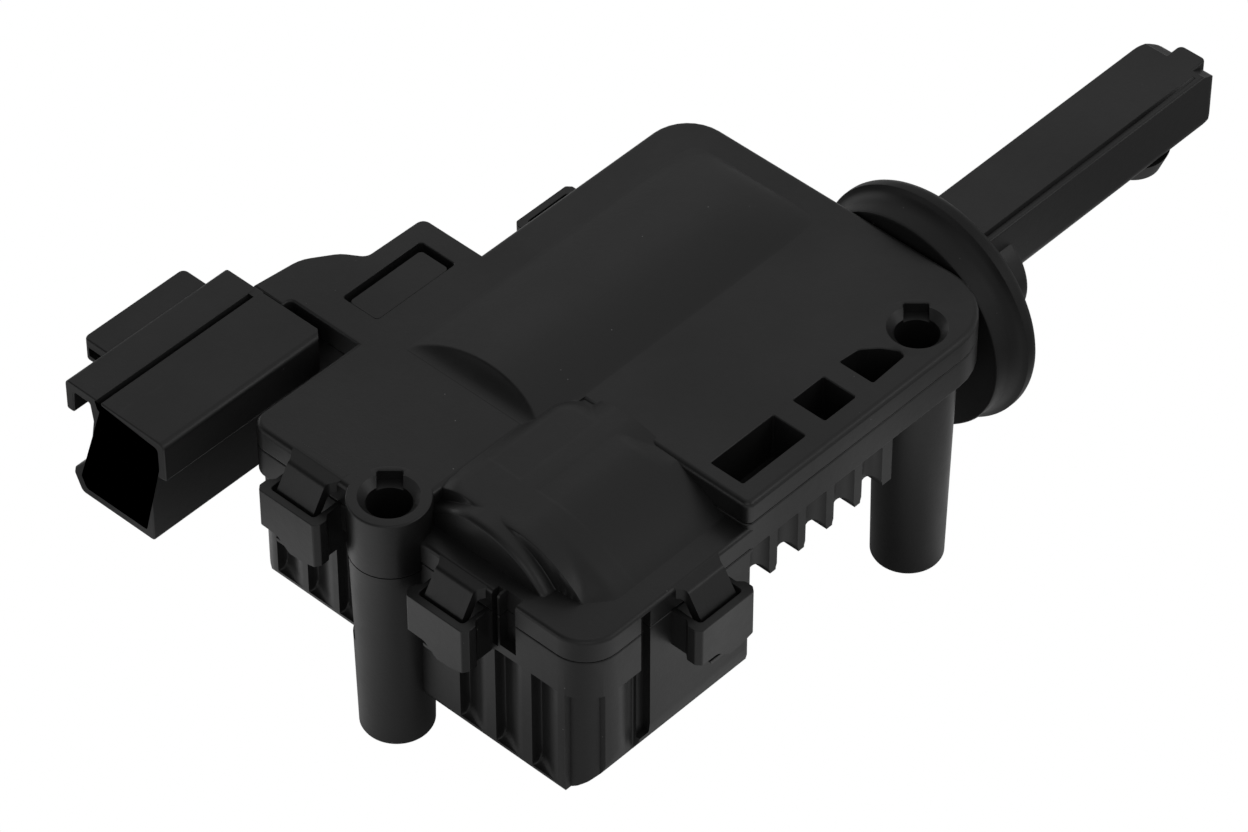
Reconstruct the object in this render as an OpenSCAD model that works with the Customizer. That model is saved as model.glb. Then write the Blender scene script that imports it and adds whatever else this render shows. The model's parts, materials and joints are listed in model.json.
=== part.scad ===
// Tailgate lock: a motor turns a lead screw that draws a locking pin in and out of a moulded housing.
// X runs along the pin, towards its tip. Y runs towards the plug socket. Z is up.
// The origin is the centre of the front screw bore, at the foot of its pillar.
// Depths are measured down from the top face, so they are negative heights there.

/* [Screw pillars] */
// Height of the pillars, from the mounting foot to the top face
pillar_h = 38.5; // [37:0.5:41]
// Outer radius of a pillar at the top face
pillar_r = 5.25; // [5.1:0.05:5.4]
// Outer radius of a pillar at its foot
pillar_foot_r = 4.75; // [4.5:0.05:4.9]
// Radius of the screw bores
screw_r = 2.85; // [2.6:0.05:3]
// Depth of the chamfer at the mouth of a screw bore
mouth_h = 1; // [0.6:0.1:1.4]
// Distance from the front pillar to the rear one along the pin
rear_pillar_x = 64.85; // [64:0.05:65.5]
// Distance from the front pillar to the rear one across the pin
rear_pillar_y = 26.84; // [26.5:0.02:27]
// Length of the front pillar's upper part, which belongs to the cover
boss_h = 8.9; // [8.6:0.1:9.5]

/* [Housing] */
// Distance from the rear pillar's axis to the nose face
nose_out = 10.75; // [10:0.05:13]
// Distance from the front pillar's axis to the end face beside the upper deck
deck_end = 2.5; // [2:0.1:3]
// Distance from the front pillar's axis to the end face below the lower deck
step_end = 0.2; // [0:0.05:0.4]
// Distance from the front pillar's axis to the long side with the plug socket
back_y = 21.5; // [21:0.1:24]
// Distance from the front pillar's axis to the long side with the pockets
front_y = 32.5; // [32:0.1:34]
// Wall thickness of the mouldings
wall = 1.6; // [1.4:0.1:1.7]
// Depth of the cover's side wall
lid_h = 3.4; // [3.2:0.1:3.6]
// Height of the flange band round the base under the upper deck
band_h = 4.4; // [4:0.1:5]
// Height of the flange band round the base under the lower deck
low_band_h = 6.2; // [5.8:0.1:6.6]
// How far the lower deck lies under the upper one
step_h = 4.2; // [4:0.1:4.4]
// Distance from the front pillar's axis to the wall between the lower deck and the shelf
step_x = 27.7; // [27.5:0.1:28]
// How far the walls under a band stand back from it
inset = 0.8; // [0.5:0.1:1]
// Radius of the rounded corner at the lower deck
corner_r = 5; // [4:0.5:6]
// Radius of the rounded corner beside the rear pillar
shelf_corner_r = 9; // [7:0.5:10]
// Radius of the rounded corner at the far end of the motor
far_corner_r = 6; // [4:0.5:7]
// Rounding of the base's long bottom edges
bottom_r = 4; // [2:0.5:5]
// Rounding of the bottom edge beside the drive gear
gear_bottom_r = 7; // [4:0.5:7.5]
// Rounding of the short bottom edges, across the pin
end_r = 1; // [0.5:0.1:1.5]
// Depth of the tray around the drive gear
gear_floor = 31.2; // [29:0.1:32]
// Depth of the tray around the reduction wheel
wheel_floor = 24.4; // [24.3:0.1:26]
// Depth of the tray around the motor
motor_floor = 20.6; // [20.4:0.1:22]

/* [Shelf with pockets] */
// Near and far side of the pockets, from the front pillar's axis
pocket_y = [24.2, 29.4]; // [23:0.1:30]
// Start of the two square pockets along the pin
pocket_x = [30.2, 44.9]; // [30:0.1:46]
// Length of the two square pockets
pocket_l = [11.2, 5.6]; // [4:0.1:12]
// Start and length of the pocket with the round side
round_pocket = [53.8, 6.6]; // [6:0.1:55]
// Depth of the pockets
pocket_h = 7; // [5:0.1:7.1]
// Number of ribs in the skirt below the shelf
skirt_n = 5; // [3:1:5]
// Spacing of the skirt ribs
skirt_pitch = 5.15; // [4.8:0.05:5.3]
// How far the skirt hangs below the band
skirt_h = 7.2; // [5:0.1:8]

/* [Flutes] */
// Number of flutes in the end wall of the gear tray, and of the wheel tray
flute_n = [3, 3]; // [1:1:3]
// Spacing of the flutes in each of the two walls
flute_pitch = [6, 5.3]; // [5:0.1:6]
// Start of the first flute in each of the two walls, from the front pillar's axis
flute_y = [-11.4, 17.3]; // [-12:0.1:18]
// Width of a flute
flute_w = 4.4; // [3:0.1:4.8]
// Depth of a flute
flute_d = 1.4; // [0.8:0.1:1.5]
// Height at which a flute ends over the bottom of its wall
flute_end = 1.4; // [1.2:0.1:3]

/* [Snap straps] */
// Outer width of a strap
strap_w = 10.2; // [9.5:0.1:10.6]
// How far a strap stands out from its wall
strap_out = 5; // [4.5:0.1:5.4]
// Height of a strap
strap_h = 6.9; // [5:0.1:7]
// Thickness of a strap
strap_t = 1.1; // [1:0.05:1.2]
// Width of the tongue that snaps into a strap
tongue_w = 5.8; // [5:0.1:6.2]
// Thickness of the tongue
tongue_t = 1.2; // [1:0.05:1.3]
// Both sides of the upright slot beside the end strap, from the front pillar's axis
end_slot_y = [-20.8, -18.2]; // [-21:0.1:-18]
// Depth of the foot of that slot under the top face
end_slot_h = 12.5; // [10:0.1:13]

/* [Humps] */
// Rise of the motor hump over the upper deck
hump_rise = 1.9; // [1.6:0.1:2.3]
// Width of the motor hump
hump_w = 21; // [20:0.5:22]
// Start and end of the motor hump along the pin
hump_x = [22.6, 71.5]; // [22:0.1:72]
// Radius of the drum over the drive gear
drum_r = 14.4; // [14.3:0.1:14.8]
// Start of the drum along the pin
drum_x = 3; // [2.6:0.1:3.2]

/* [Plug socket] */
// Open end of the socket, from the front pillar's axis
socket_x = 12.6; // [12:0.1:14]
// Length of the socket shell
socket_l = 27.4; // [27:0.1:28]
// Start of the socket's top plate, from the front pillar's axis
socket_y = 25.6; // [25:0.1:26]
// Width of the socket's top plate up to the groove
socket_w = 11.4; // [11:0.1:12]
// Height of the socket shell
socket_h = 18.2; // [17:0.1:19]
// Wall thickness of the socket shell
socket_t = 1.25; // [1.1:0.05:1.4]
// Depth of the socket's keyed upper part
key_h = 6; // [5.5:0.1:6.5]
// How far the lower box of the socket stands back from the top plate
socket_inset = 3; // [2.6:0.1:3.4]
// Width of the side rail beside the groove
rail_w = 5; // [4.5:0.1:5.5]
// How far the foot of the lower box spreads towards the rail
flare = 3.4; // [2:0.1:3.6]
// Length of the hollow socket, up to the wall that holds the blades
socket_depth = 17; // [15:0.5:18]
// Start and end of the ledge behind the rail, from the front pillar's axis
ledge_x = [-5.3, 11.8]; // [-8:0.1:12]
// How far the ledge stands out from the rail
ledge_w = 4.5; // [3:0.1:5]

/* [Pin] */
// Distance of the pin's axis from the front pillar, across the pin
pin_y = 15.4; // [15.3:0.05:15.6]
// Depth of the pin's axis under the top face
pin_depth = 13.6; // [13.5:0.05:13.8]
// Radius of the pin's round part
pin_r = 8.2; // [8:0.05:8.3]
// Start of the pin at rest, from the front pillar's axis
pin_x = 40; // [39.5:0.1:41]
// Length of the pin's round part
tube_l = 51; // [50:0.5:52]
// Overall length of the pin
pin_l = 92; // [88:0.5:96]
// Width of the finger
finger_w = 10.4; // [10:0.1:10.8]
// Height of the finger
finger_h = 10.2; // [9.6:0.1:10.6]
// Rise of the finger's flat top over the axis
finger_rise = 9.6; // [9.3:0.05:9.7]
// Distance from the axis to the flat side of the pin's rear part
pin_flat = 7.2; // [7:0.05:7.5]
// Length of the pin's travel
stroke = 12; // [8:0.5:12]

/* [Screw drive] */
// Advance of the pin for one turn of the lead screw
lead = 12; // [10:0.5:14]
// Starts of the lead screw
starts = 3; // [2:1:4]
// Outer radius of the soft buffer behind the pin
buffer_r = 7.4; // [6.5:0.1:7.6]
// Mean radius of the lead screw's thread
thread_r = 3.5; // [3.4:0.05:3.6]
// Half the height of the thread
thread_a = 0.6; // [0.4:0.05:0.7]
// Outer radius of the nut in the pin
nut_r = 6.3; // [6:0.05:6.6]
// Length of the nut
nut_l = 10; // [8:0.5:12]
// End of the lead screw, from the front pillar's axis
screw_end = 50.5; // [50:0.5:54]

/* [Gears] */
// Module of the motor pinion and the reduction wheel
fast_module = 0.6; // [0.58:0.01:0.62]
// Module of the drive gear and the pinion that turns it
slow_module = 0.7; // [0.69:0.01:0.71]
// Teeth of the motor pinion
pinion_n = 10; // [9:1:11]
// Teeth of the reduction wheel
wheel_n = 19; // [18:1:20]
// Teeth of the small pinion on the reduction wheel
idler_n = 10; // [9:1:11]
// Teeth of the drive gear
drive_n = 34; // [32:1:34]
// Face width of the drive gear
drive_face = 5.4; // [4.5:0.1:5.6]
// Face width of the reduction wheel
wheel_face = 4; // [3:0.1:4.2]
// Free play between meshing teeth, at the pitch circle
backlash = 0.3; // [0.24:0.02:0.36]

/* [Motor] */
// Distance of the motor's axis from the front pillar
motor_y = 5.5; // [5.4:0.05:5.6]
// Depth of the motor's axis under the top face
motor_depth = 9.5; // [9.4:0.05:9.6]
// Radius of the motor can
can_r = 11; // [10.8:0.05:11.1]
// Height of the motor can across its flats
can_h = 17; // [16.6:0.1:17.2]
// Length of the motor can
can_l = 33.4; // [31:0.1:34]
// Wall thickness of the motor can
can_t = 1; // [0.8:0.05:1.1]
// Radius of the armature
armature_r = 7; // [6.6:0.05:7.1]
// Radius of the armature's hub
hub_r = 2.6; // [2.4:0.05:2.7]
// Width of an armature web
web_w = 2.4; // [2:0.1:2.8]
// Height of a coil along its web
coil_h = 2.4; // [2:0.1:2.6]
// Thickness of a coil, beside its web and at both ends of the core
coil_t = 1.2; // [0.8:0.1:1.3]
// Radius of the motor shaft
shaft_r = 1.15; // [1:0.05:1.25]

/* [Seal] */
// Outer radius of the seal's rim
seal_r = 17; // [16.5:0.1:17.5]
// Outer radius of the seal's back
seal_back_r = 15.7; // [15.2:0.1:16]
// Length of the seal along the pin
seal_l = 6.8; // [6:0.1:7.5]
// Thickness of the seal's rubber
seal_t = 1.8; // [1.5:0.1:2.2]

/* [Fits] */
// Radial clearance of a shaft in its bore
fit = 0.03; // [0.02:0.01:0.06]
// Gap between pieces that move past each other
gap = 0.3; // [0.25:0.01:0.35]
// Gap between pieces that are only placed side by side
seat = 0.1; // [0.05:0.01:0.15]

/* [Hidden] */
$fn = 64;

plastic = [0.09, 0.09, 0.1];
rubber = [0.14, 0.14, 0.14];
natural = [0.86, 0.85, 0.8];
steel = [0.6, 0.61, 0.63];
bronze = [0.62, 0.47, 0.28];
copper = [0.72, 0.42, 0.25];
ferrite = [0.25, 0.25, 0.27];

far = 200;              // longer than anything it cuts
nip = 0.01;             // how far a cut runs past a face
nose_x = rear_pillar_x + nose_out;   // nose face
front_at = [0, 0];
rear_at = [rear_pillar_x, -rear_pillar_y];
pin_at = [-pin_y, -pin_depth];
motor_at = [motor_y, -motor_depth];
seam = -lid_h;                       // underside of the cover's side wall
low_deck = -step_h;                  // top of the lower deck
low_seam = low_deck - lid_h;
shelf_split_y = -3;                  // where the end face changes from one band to the other
slow_gap = slow_module * (drive_n + idler_n) / 2;
fast_gap = fast_module * (pinion_n + wheel_n) / 2;
idler_at = meet(pin_at, motor_at, slow_gap, fast_gap);
slow_line = atan2(idler_at[1] - pin_at[1], idler_at[0] - pin_at[0]);
fast_line = atan2(idler_at[1] - motor_at[1], idler_at[0] - motor_at[0]);

// Stations along the shafts, from the front pillar's axis
rear_bush_x = [2.4, 4.9];
drive_x = 6.6;
washer_x = drive_x + drive_face + gap;
washer_t = 0.8;
front_bush_x = [washer_x + washer_t + seat, washer_x + washer_t + seat + 3];
buffer_x = [front_bush_x[1] + seat, pin_x - stroke - 0.6];
wheel_x = 15.4;
bulkhead_x = [20.8, 24.2];
can_x = bulkhead_x[1] + 0.4;
bell_x = can_x + can_l;
bell_l = 4;
rear_rib_x = [bell_x + bell_l + 0.3, bell_x + bell_l + 2.6];
axle_r = 1;
axle_x = [3.4, bulkhead_x[0] + 1.6];
damper_r = 5.6;
nose_r = 4;
journal_r = 2;
front_journal_r = 3;
rear_bush_r = 4;
front_bush_r = 5;
bush_x = [nose_x - 5, nose_x + 2.8];
bush_r = pin_r + 1;
spigot_r = pin_depth - lid_h;
spigot_x = nose_x + 3.2;
commutator_x = bell_x - 5.6;
commutator_l = 4.4;
commutator_r = 2.9;
core_x = [can_x + 6, commutator_x - 5];
shoe_t = 1.1;

// Where two circles about a and b meet, on the right of the line from a to b
function meet(a, b, ra, rb) =
    let (d = norm(b - a), u = (b - a) / d, s = (ra * ra - rb * rb + d * d) / (2 * d))
    a + u * s + [u[1], -u[0]] * sqrt(ra * ra - s * s);

// Involute angle in degrees, and the half angle of a tooth at radius r
function inv(a) = tan(a) * 180 / PI - a;
function tooth_half(n, m, r) =
    let (pitch = n * m / 2, base = pitch * cos(20), at = r > base ? acos(base / r) : 0)
    90 / n - backlash / pitch * 45 / PI + inv(20) - inv(at);

// Outline of a spur gear with n teeth, its first tooth on the X axis
function gear_outline(n, m) =
    let (pitch = n * m / 2, base = pitch * cos(20), tip = pitch + 0.92 * m, root = pitch - 1.3 * m,
         low = max(base, root), flank = [low, (low + tip) / 2, tip])
    [for (i = [0:n - 1], k = [0:7])
        let (side = k < 4 ? -1 : 1, j = k < 4 ? k : 7 - k,
             r = j == 0 ? min(root, low) : flank[j - 1],
             a = 360 * i / n + side * tooth_half(n, m, max(r, low)))
        r * [cos(a), sin(a)]];

module from_top() translate([0, 0, pillar_h]) children();

// Turns a drawing in the plane so that it faces along the pin, at a place given across and down
module facing_x(at, x) translate([x, at[0], at[1]]) rotate([90, 0, 90]) children();

module rod(at, x, r) facing_x(at, x[0]) cylinder(r = r, h = x[1] - x[0]);

module ring(at, x, inner, outer) difference() {
    rod(at, x, outer);
    rod(at, [x[0] - nip, x[1] + nip], inner);
}

module block(x, y, z) translate([x[0], y[0], z[0]]) cube([x[1] - x[0], y[1] - y[0], z[1] - z[0]]);

// A rectangle with its own radius at each corner, anticlockwise from the low one
module plan(x, y, r) {
    corners = [[x[0], y[0]], [x[1], y[0]], [x[1], y[1]], [x[0], y[1]]];
    difference() {
        translate([x[0], y[0]]) square([x[1] - x[0], y[1] - y[0]]);
        for (i = [0:3]) if (r[i] > 0) translate(corners[i]) rotate(90 * i) difference() {
            translate([-nip, -nip]) square(r[i] + nip);
            translate([r[i], r[i]]) circle(r[i]);
        }
    }
}

module slab(x, y, z, r = [0, 0, 0, 0])
    translate([0, 0, z[0]]) linear_extrude(z[1] - z[0]) plan(x, y, r);

// A tray body: rounded in plan by r, and along its two long bottom edges by low
module tray(x, y, z, r, low) intersection() {
    slab(x, y, z, r);
    facing_x([0, 0], x[0]) linear_extrude(x[1] - x[0]) plan(y, z, [low[0], low[1], 0, 0]);
    translate([0, y[1], 0]) rotate([90, 0, 0]) linear_extrude(y[1] - y[0])
        plan(x, z, [end_r, end_r, 0, 0]);
}

// The plan of the housing: the upper deck, and the lower deck at the front corner
module upper_plan() {
    plan([-deck_end, nose_x], [shelf_split_y, back_y], [0, 0, far_corner_r, 2.6]);
    plan([step_x, nose_x], [-front_y, 0], [0, shelf_corner_r, 0, 0]);
}

module lower_plan() plan([-step_end, step_x], [-front_y, shelf_split_y], [corner_r, 0, 0, 0]);

// The arm that carries the plug socket: a deck with a rounded end and a tab that meets the shell
arm_x = [17.6, 38];
arm_y = 31.6;
arm_h = 16;
tab_y = [32.4, 38.1];
socket_end = socket_l - socket_x;
module arm_plan() {
    plan([arm_x[0], arm_x[1]], [back_y - 1, arm_y], [0, 0, 1.5, 0]);
    intersection() {
        translate([arm_x[0] - 1, tab_y[1] - 12]) circle(12);
        translate([socket_end, arm_y - 2]) square([12, 10]);
    }
    translate([socket_end, tab_y[0]]) square([3, tab_y[1] - tab_y[0]]);
    translate([arm_x[0] - 1, back_y]) square([3, tab_y[1] - back_y - 0.2]);
}

// Space left free for the moving pin, with room over its flat top, past its flat side
module pin_way(x, r, side) {
    difference() {
        rod(pin_at, x, r);
        block([0, bush_x[0]], [-far, -pin_y - pin_flat - side], [-far, 0]);
    }
    block(x, [-pin_y - finger_w / 2 - side, -pin_y + finger_w / 2 + side], [-pin_depth, seam]);
}

hump_r = (hump_w * hump_w / 4 + hump_rise * hump_rise) / (2 * hump_rise);
module hump(shrink) intersection() {
    rod([motor_y, hump_rise - hump_r], [hump_x[0] + shrink, hump_x[1] - shrink], hump_r - shrink);
    slab([hump_x[0] + shrink, hump_x[1] - shrink], [motor_y - hump_w / 2, motor_y + hump_w / 2],
        [-lid_h, far], [0, 6, 6, 0]);
}

plateau = 0.8;
drum_wide_x = [4.6, 12.6];
module drum() {
    rod(pin_at, [drum_x, step_x + wall], drum_r - 0.5);
    rod(pin_at, drum_wide_x, drum_r);
    slab([9, step_x - 0.4], [-pin_y, -3.2], [-lid_h, plateau], [0, 3, 3, 3]);
}

// The hollow that the mechanism lies in, shared by the cover and the base
module rooms() {
    gear_room_r = slow_module * (drive_n / 2 + 0.92) + gap;
    tray([inset + wall - step_end, step_x], [inset + wall - front_y, shelf_split_y + 1],
        [wall - gear_floor, low_deck - wall], [corner_r - wall, 0, 0, 0], [gear_bottom_r - wall, 0]);
    rod(pin_at, [drum_x + wall, step_x], gear_room_r);
    slab([wall - deck_end + inset, step_x], [shelf_split_y + wall, back_y - inset - wall],
        [wall - wheel_floor, -wall - 0.2], [0, 0, 0, 2]);
    block([drum_x + wall, step_x], [-pin_y, 6], [wall - wheel_floor, low_deck - wall]);
    slab([can_x - gap, nose_x - wall], [motor_y - can_r - gap, back_y - inset - wall],
        [wall - motor_floor, -wall - 0.2], [0, 0, 4, 0]);
    hump(wall);
    block([step_x + wall, nose_x - 3], [-pin_y - 8, -pin_y + 8], [seam - 1, -wall - 0.2]);
    block([arm_x[0] + 1.8, arm_x[1] - 1.8], [back_y - 4, arm_y - wall], [wall - arm_h, -wall - 0.2]);
    pin_way([washer_x + 8, nose_x + 8], pin_r + gap, gap);
}

module pillar_bore(at) {
    translate([at[0], at[1], -far / 2]) cylinder(r = screw_r, h = far);
    translate([at[0], at[1], -mouth_h]) cylinder(r1 = screw_r, r2 = screw_r + mouth_h, h = mouth_h + nip);
}

module boss(at, h) translate([at[0], at[1], -h]) cylinder(r = pillar_r, h = h);

module pocket_cuts() {
    for (i = [0:1]) block([pocket_x[i], pocket_x[i] + pocket_l[i]], [-pocket_y[1], -pocket_y[0]],
        [-pocket_h, 1]);
    intersection() {
        block([round_pocket[0], round_pocket[0] + round_pocket[1]], [-pocket_y[1], -pocket_y[0]],
            [-pocket_h, 1]);
        translate([round_pocket[0], -pocket_y[1], -pocket_h]) cylinder(r = round_pocket[1], h = far);
    }
}

// Snaps: one entry for each, as the foot on the wall, the way it faces and the depth of its deck
snaps = [
    [[-deck_end, 10.1], 90, 0],
    [[-step_end, -12.2], 90, low_deck],
    [[18.8, -front_y], 180, low_deck],
    [[49.2, back_y], 0, 0]
];

// Places a snap so that it stands out along its own +Y
module at_snap(s) translate([s[0][0], s[0][1], s[2]]) rotate(s[1]) children();

module strap() difference() {
    slab([-strap_w / 2, strap_w / 2], [-wall, strap_out], [-lid_h - strap_h, -lid_h], [0, 0, 1.6, 1.6]);
    slab([strap_t - strap_w / 2, strap_w / 2 - strap_t], [-wall - nip, strap_out - strap_t],
        [-lid_h - strap_h - nip, -lid_h + nip], [0, 0, 0.6, 0.6]);
}

// Tongue outline across its wall: out over the strap, down through it, and hooked under its bar
tongue_out = strap_out - strap_t - 0.2;
tongue_low = -lid_h - strap_h;
module tongue() translate([-tongue_w / 2, 0, 0]) rotate([90, 0, 90]) linear_extrude(tongue_w) polygon([
    [-wall, 0], [0.5, 0], [tongue_out - 0.4, 0.8 - lid_h], [tongue_out, 0.2 - lid_h],
    [tongue_out, tongue_low - 0.2], [tongue_out + 0.9, tongue_low - 0.2],
    [tongue_out + 0.9, tongue_low - 0.7], [tongue_out - 0.3, tongue_low - 1.8],
    [tongue_out - tongue_t, tongue_low - 1.8], [tongue_out - tongue_t, -lid_h],
    [-nip, seam + tongue_t + 0.3], [-wall, seam + tongue_t + 0.3]]);

// Half ribs that hold a bush or bearing between the cover and the base
module cradle(at, x, half, z) block(x, [at[0] - half, at[0] + half], z);

corner_slot_x = 9.8;
slot_w = 1.6;
module corner_slot() slab([corner_slot_x - slot_w / 2, corner_slot_x + slot_w / 2],
    [-front_y - 1, -front_y + 1.2], [-far, low_deck - 0.6]);

// Upright slot in the end wall, beside the strap
module end_slot() block([-step_end - 1, 1.4 - step_end], end_slot_y, [-end_slot_h, low_deck + 1]);

module top_cover() color(plastic) from_top() difference() {
    union() {
        difference() {
            union() {
                translate([0, 0, seam]) linear_extrude(lid_h) upper_plan();
                translate([0, 0, seam]) linear_extrude(lid_h) arm_plan();
                translate([0, 0, low_seam]) linear_extrude(lid_h) lower_plan();
                hump(0);
                intersection() {
                    drum();
                    block([drum_x, step_x], [-front_y, shelf_split_y], [low_seam, far]);
                }
            }
            rooms();
        }
        boss(front_at, boss_h);
        boss(rear_at, lid_h);
        for (s = snaps) at_snap(s) tongue();
        cradle(pin_at, rear_bush_x, 6, [-pin_depth, low_deck - 0.6]);
        cradle(pin_at, front_bush_x, 6.4, [-pin_depth, -wall]);
        cradle(motor_at, bulkhead_x, 6.4, [-motor_depth, -0.6]);
        cradle(motor_at, rear_rib_x, 6.4, [-motor_depth, -0.6]);
    }
    pillar_bore(front_at);
    pillar_bore(rear_at);
    pocket_cuts();
    corner_slot();
    end_slot();
    rod(pin_at, rear_bush_x, rear_bush_r + fit);
    rod(pin_at, [front_bush_x[0] - nip, front_bush_x[1] + nip], front_bush_r + fit);
    rod(motor_at, [bulkhead_x[0] - nip, bulkhead_x[1] + nip], damper_r + fit);
    rod(motor_at, [rear_rib_x[0] - nip, rear_rib_x[1] + nip], damper_r + fit);
    arm_window();
    gasket(0.05);
}

// Window in the arm over the plate that holds the blades' strips
window = [[20.7, 34.7], [22.4, 28.6]];
module arm_window() slab(window[0], window[1], [-wall - 1, 1]);

// Plug that closes the window from inside, with its raised face just under the deck
module arm_plug() color(plastic) from_top() {
    top = -wall - 0.2 - seat;
    block([arm_x[0] + 1.8 + seat, arm_x[1] - 1.8 - seat], [back_y - 3.5, arm_y - wall - seat],
        [top - 1, top]);
    slab(window[0] + [gap, -1.1], window[1] + [gap, -1.1], [top - nip, -0.3], [0.6, 0.6, 0.6, 0.6]);
}

// Flutes: upright grooves below the bands, steep on one side and shallow on the other
module flute() polygon([[-1, 0], [flute_d, -0.1], [flute_d, -flute_w * 0.3],
    [flute_d * 0.45, -flute_w * 0.7], [0, -flute_w], [-1, -flute_w]]);

module wall_flutes(x, start, pitch, n, z) translate([x, start, z[0]])
    linear_extrude(z[1] - z[0]) for (i = [0:n - 1]) translate([0, -pitch * i]) flute();

// The corner's own recess, and the flute between it and the corner slot
module corner_flutes() translate([0, 0, -far]) linear_extrude(far + low_seam - low_band_h) {
    recess = 0.9;
    difference() {
        translate([-step_end - 1, -front_y - 1]) square([corner_r - 1, corner_r - 0.3]);
        translate([corner_r - step_end, corner_r - front_y]) circle(corner_r - recess);
    }
    translate([corner_slot_x - slot_w / 2, -front_y]) mirror([1, 0]) rotate(90) scale(0.9) flute();
}

module skirt() {
    start = pocket_x[0] + 2.6;
    half = skirt_pitch / 2;
    difference() {
        block([step_x + 0.4, start + (skirt_n - 1) * skirt_pitch + 0.8],
            [-front_y + 0.3, -front_y + 3.4], [seam - band_h - skirt_h, seam - band_h + 0.5]);
        for (i = [-1:skirt_n - 2]) translate([start + half + i * skirt_pitch, -front_y - 0.6, -far / 2])
            cylinder(r = half - 0.5, h = far);
        for (i = [-1:skirt_n - 2]) translate([start + half + i * skirt_pitch, 0, seam - band_h - skirt_h])
            rotate([90, 0, 0]) cylinder(r = half - 0.5, h = far);
    }
}

module base_housing() color(plastic) from_top() difference() {
    union() {
        difference() {
            union() {
                translate([0, 0, seam - band_h]) linear_extrude(band_h) upper_plan();
                translate([0, 0, low_seam - low_band_h]) linear_extrude(low_band_h) lower_plan();
                translate([0, 0, -arm_h]) linear_extrude(arm_h - lid_h) arm_plan();
                tray([-step_end, step_x + wall], [-front_y, 6], [-gear_floor, low_seam - 1],
                    [corner_r, 0, 0, 0], [gear_bottom_r, bottom_r]);
                tray([-deck_end, step_x + wall], [shelf_split_y, back_y - inset],
                    [-wheel_floor, seam - 1], [0, 0, 0, 3], [bottom_r, bottom_r]);
                tray([step_x, nose_x - inset], [motor_y - can_r - gap - wall, back_y - inset],
                    [-motor_floor, seam - 1], [0, 0, 5, 0], [bottom_r, bottom_r]);
                rod(pin_at, [step_x, nose_x - nip], pin_r + gap + wall);
                block([step_x, nose_x], [-pin_y - pin_r - gap - wall, motor_y], [-pin_depth, seam]);
                rod(pin_at, [nose_x - 3, spigot_x], spigot_r);
                skirt();
            }
            rooms();
            block([drum_x - 1, step_x], [inset + wall - front_y, 6], [low_seam - 1, 1]);
            block([step_x - nip, bush_x[0]], [-pin_y - 6, -pin_y + 8], [seam - 1, 1]);
        }
        translate([0, 0, -pillar_h]) cylinder(r1 = pillar_foot_r, r2 = pillar_r, h = pillar_h - boss_h);
        translate([rear_at[0], rear_at[1], -pillar_h])
            cylinder(r1 = pillar_foot_r, r2 = pillar_r, h = pillar_h - lid_h);
        for (s = snaps) at_snap(s) strap();
        cradle(pin_at, rear_bush_x, 6, [1 - gear_floor, -pin_depth]);
        cradle(pin_at, front_bush_x, 6.4, [1 - gear_floor, -pin_depth]);
        cradle(motor_at, bulkhead_x, 6.4, [1 - motor_floor, -motor_depth]);
        block(bulkhead_x, [-6.4, back_y - 2], [1 - wheel_floor, -motor_depth - 5]);
        cradle(motor_at, rear_rib_x, 6.4, [1 - motor_floor, -motor_depth]);
    }
    translate([0, 0, -boss_h]) cylinder(r = pillar_r + seat, h = far);
    pillar_bore(front_at);
    pillar_bore(rear_at);
    pocket_cuts();
    corner_slot();
    end_slot();
    wall_flutes(-step_end, flute_y[0], flute_pitch[0], flute_n[0],
        [flute_end - gear_floor, low_seam - low_band_h]);
    wall_flutes(-deck_end, flute_y[1], flute_pitch[1], flute_n[1],
        [flute_end - wheel_floor, seam - band_h]);
    corner_flutes();
    rod(pin_at, rear_bush_x, rear_bush_r + fit);
    rod(pin_at, [front_bush_x[0] - nip, front_bush_x[1] + nip], front_bush_r + fit);
    rod(motor_at, [bulkhead_x[0] - nip, bulkhead_x[1] + nip], damper_r + fit);
    rod(motor_at, [rear_rib_x[0] - nip, rear_rib_x[1] + nip], damper_r + fit);
    for (b = blades) terminal_path(b, seat);
    rod(idler_at, axle_x, axle_r + fit);
    rod(pin_at, [bush_x[0], far], bush_r + fit);
    pin_way([front_bush_x[1] + 5, far], pin_r + gap, gap);
}

// The socket's cross-section across its length, as seen from its open end
lower_y = [socket_y + socket_inset, socket_y + socket_w + 2];
groove_h = 1.3;
rail_y = socket_y + socket_w + 0.9 + rail_w;    // outer side of the rail
module socket_section(t) {
    translate([socket_y + t, t - key_h]) square([socket_w - 2 * t, key_h - 2 * t]);
    polygon([[lower_y[0] + t, -groove_h - t], [lower_y[0] + t, t - socket_h],
        [lower_y[1] + flare - t - 0.6, t - socket_h], [lower_y[1] + flare - t, 2.4 + t / 2 - socket_h],
        [lower_y[1] - t, 6.8 - socket_h], [lower_y[1] - 1 - t, -groove_h - t]]);
}

module rail_section() difference() {
    translate([rail_y - rail_w, -4.8]) square([rail_w, 4.8]);
    translate([socket_y + socket_w - nip, -4.8 - nip]) square([rail_w + 0.9 - socket_t, 4.8 - socket_t]);
}

module connector_shell() color(plastic) from_top() difference() {
    union() {
        facing_x([0, 0], -socket_x) linear_extrude(socket_l) {
            socket_section(0);
            rail_section();
            translate([socket_y + socket_w - 2, -2 * socket_t - 0.6]) square([3, socket_t + 0.6]);
        }
        slab(ledge_x, [rail_y - 1, rail_y + ledge_w], [-4.4, -0.8], [0, 0, 0.8, 0.8]);
    }
    facing_x([0, 0], -socket_x - nip) linear_extrude(socket_depth) socket_section(socket_t);
    block([socket_end - 9.5, far], [0, far], [-far, -14.6]);
    for (b = blades) terminal_path(b, seat);
}

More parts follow.
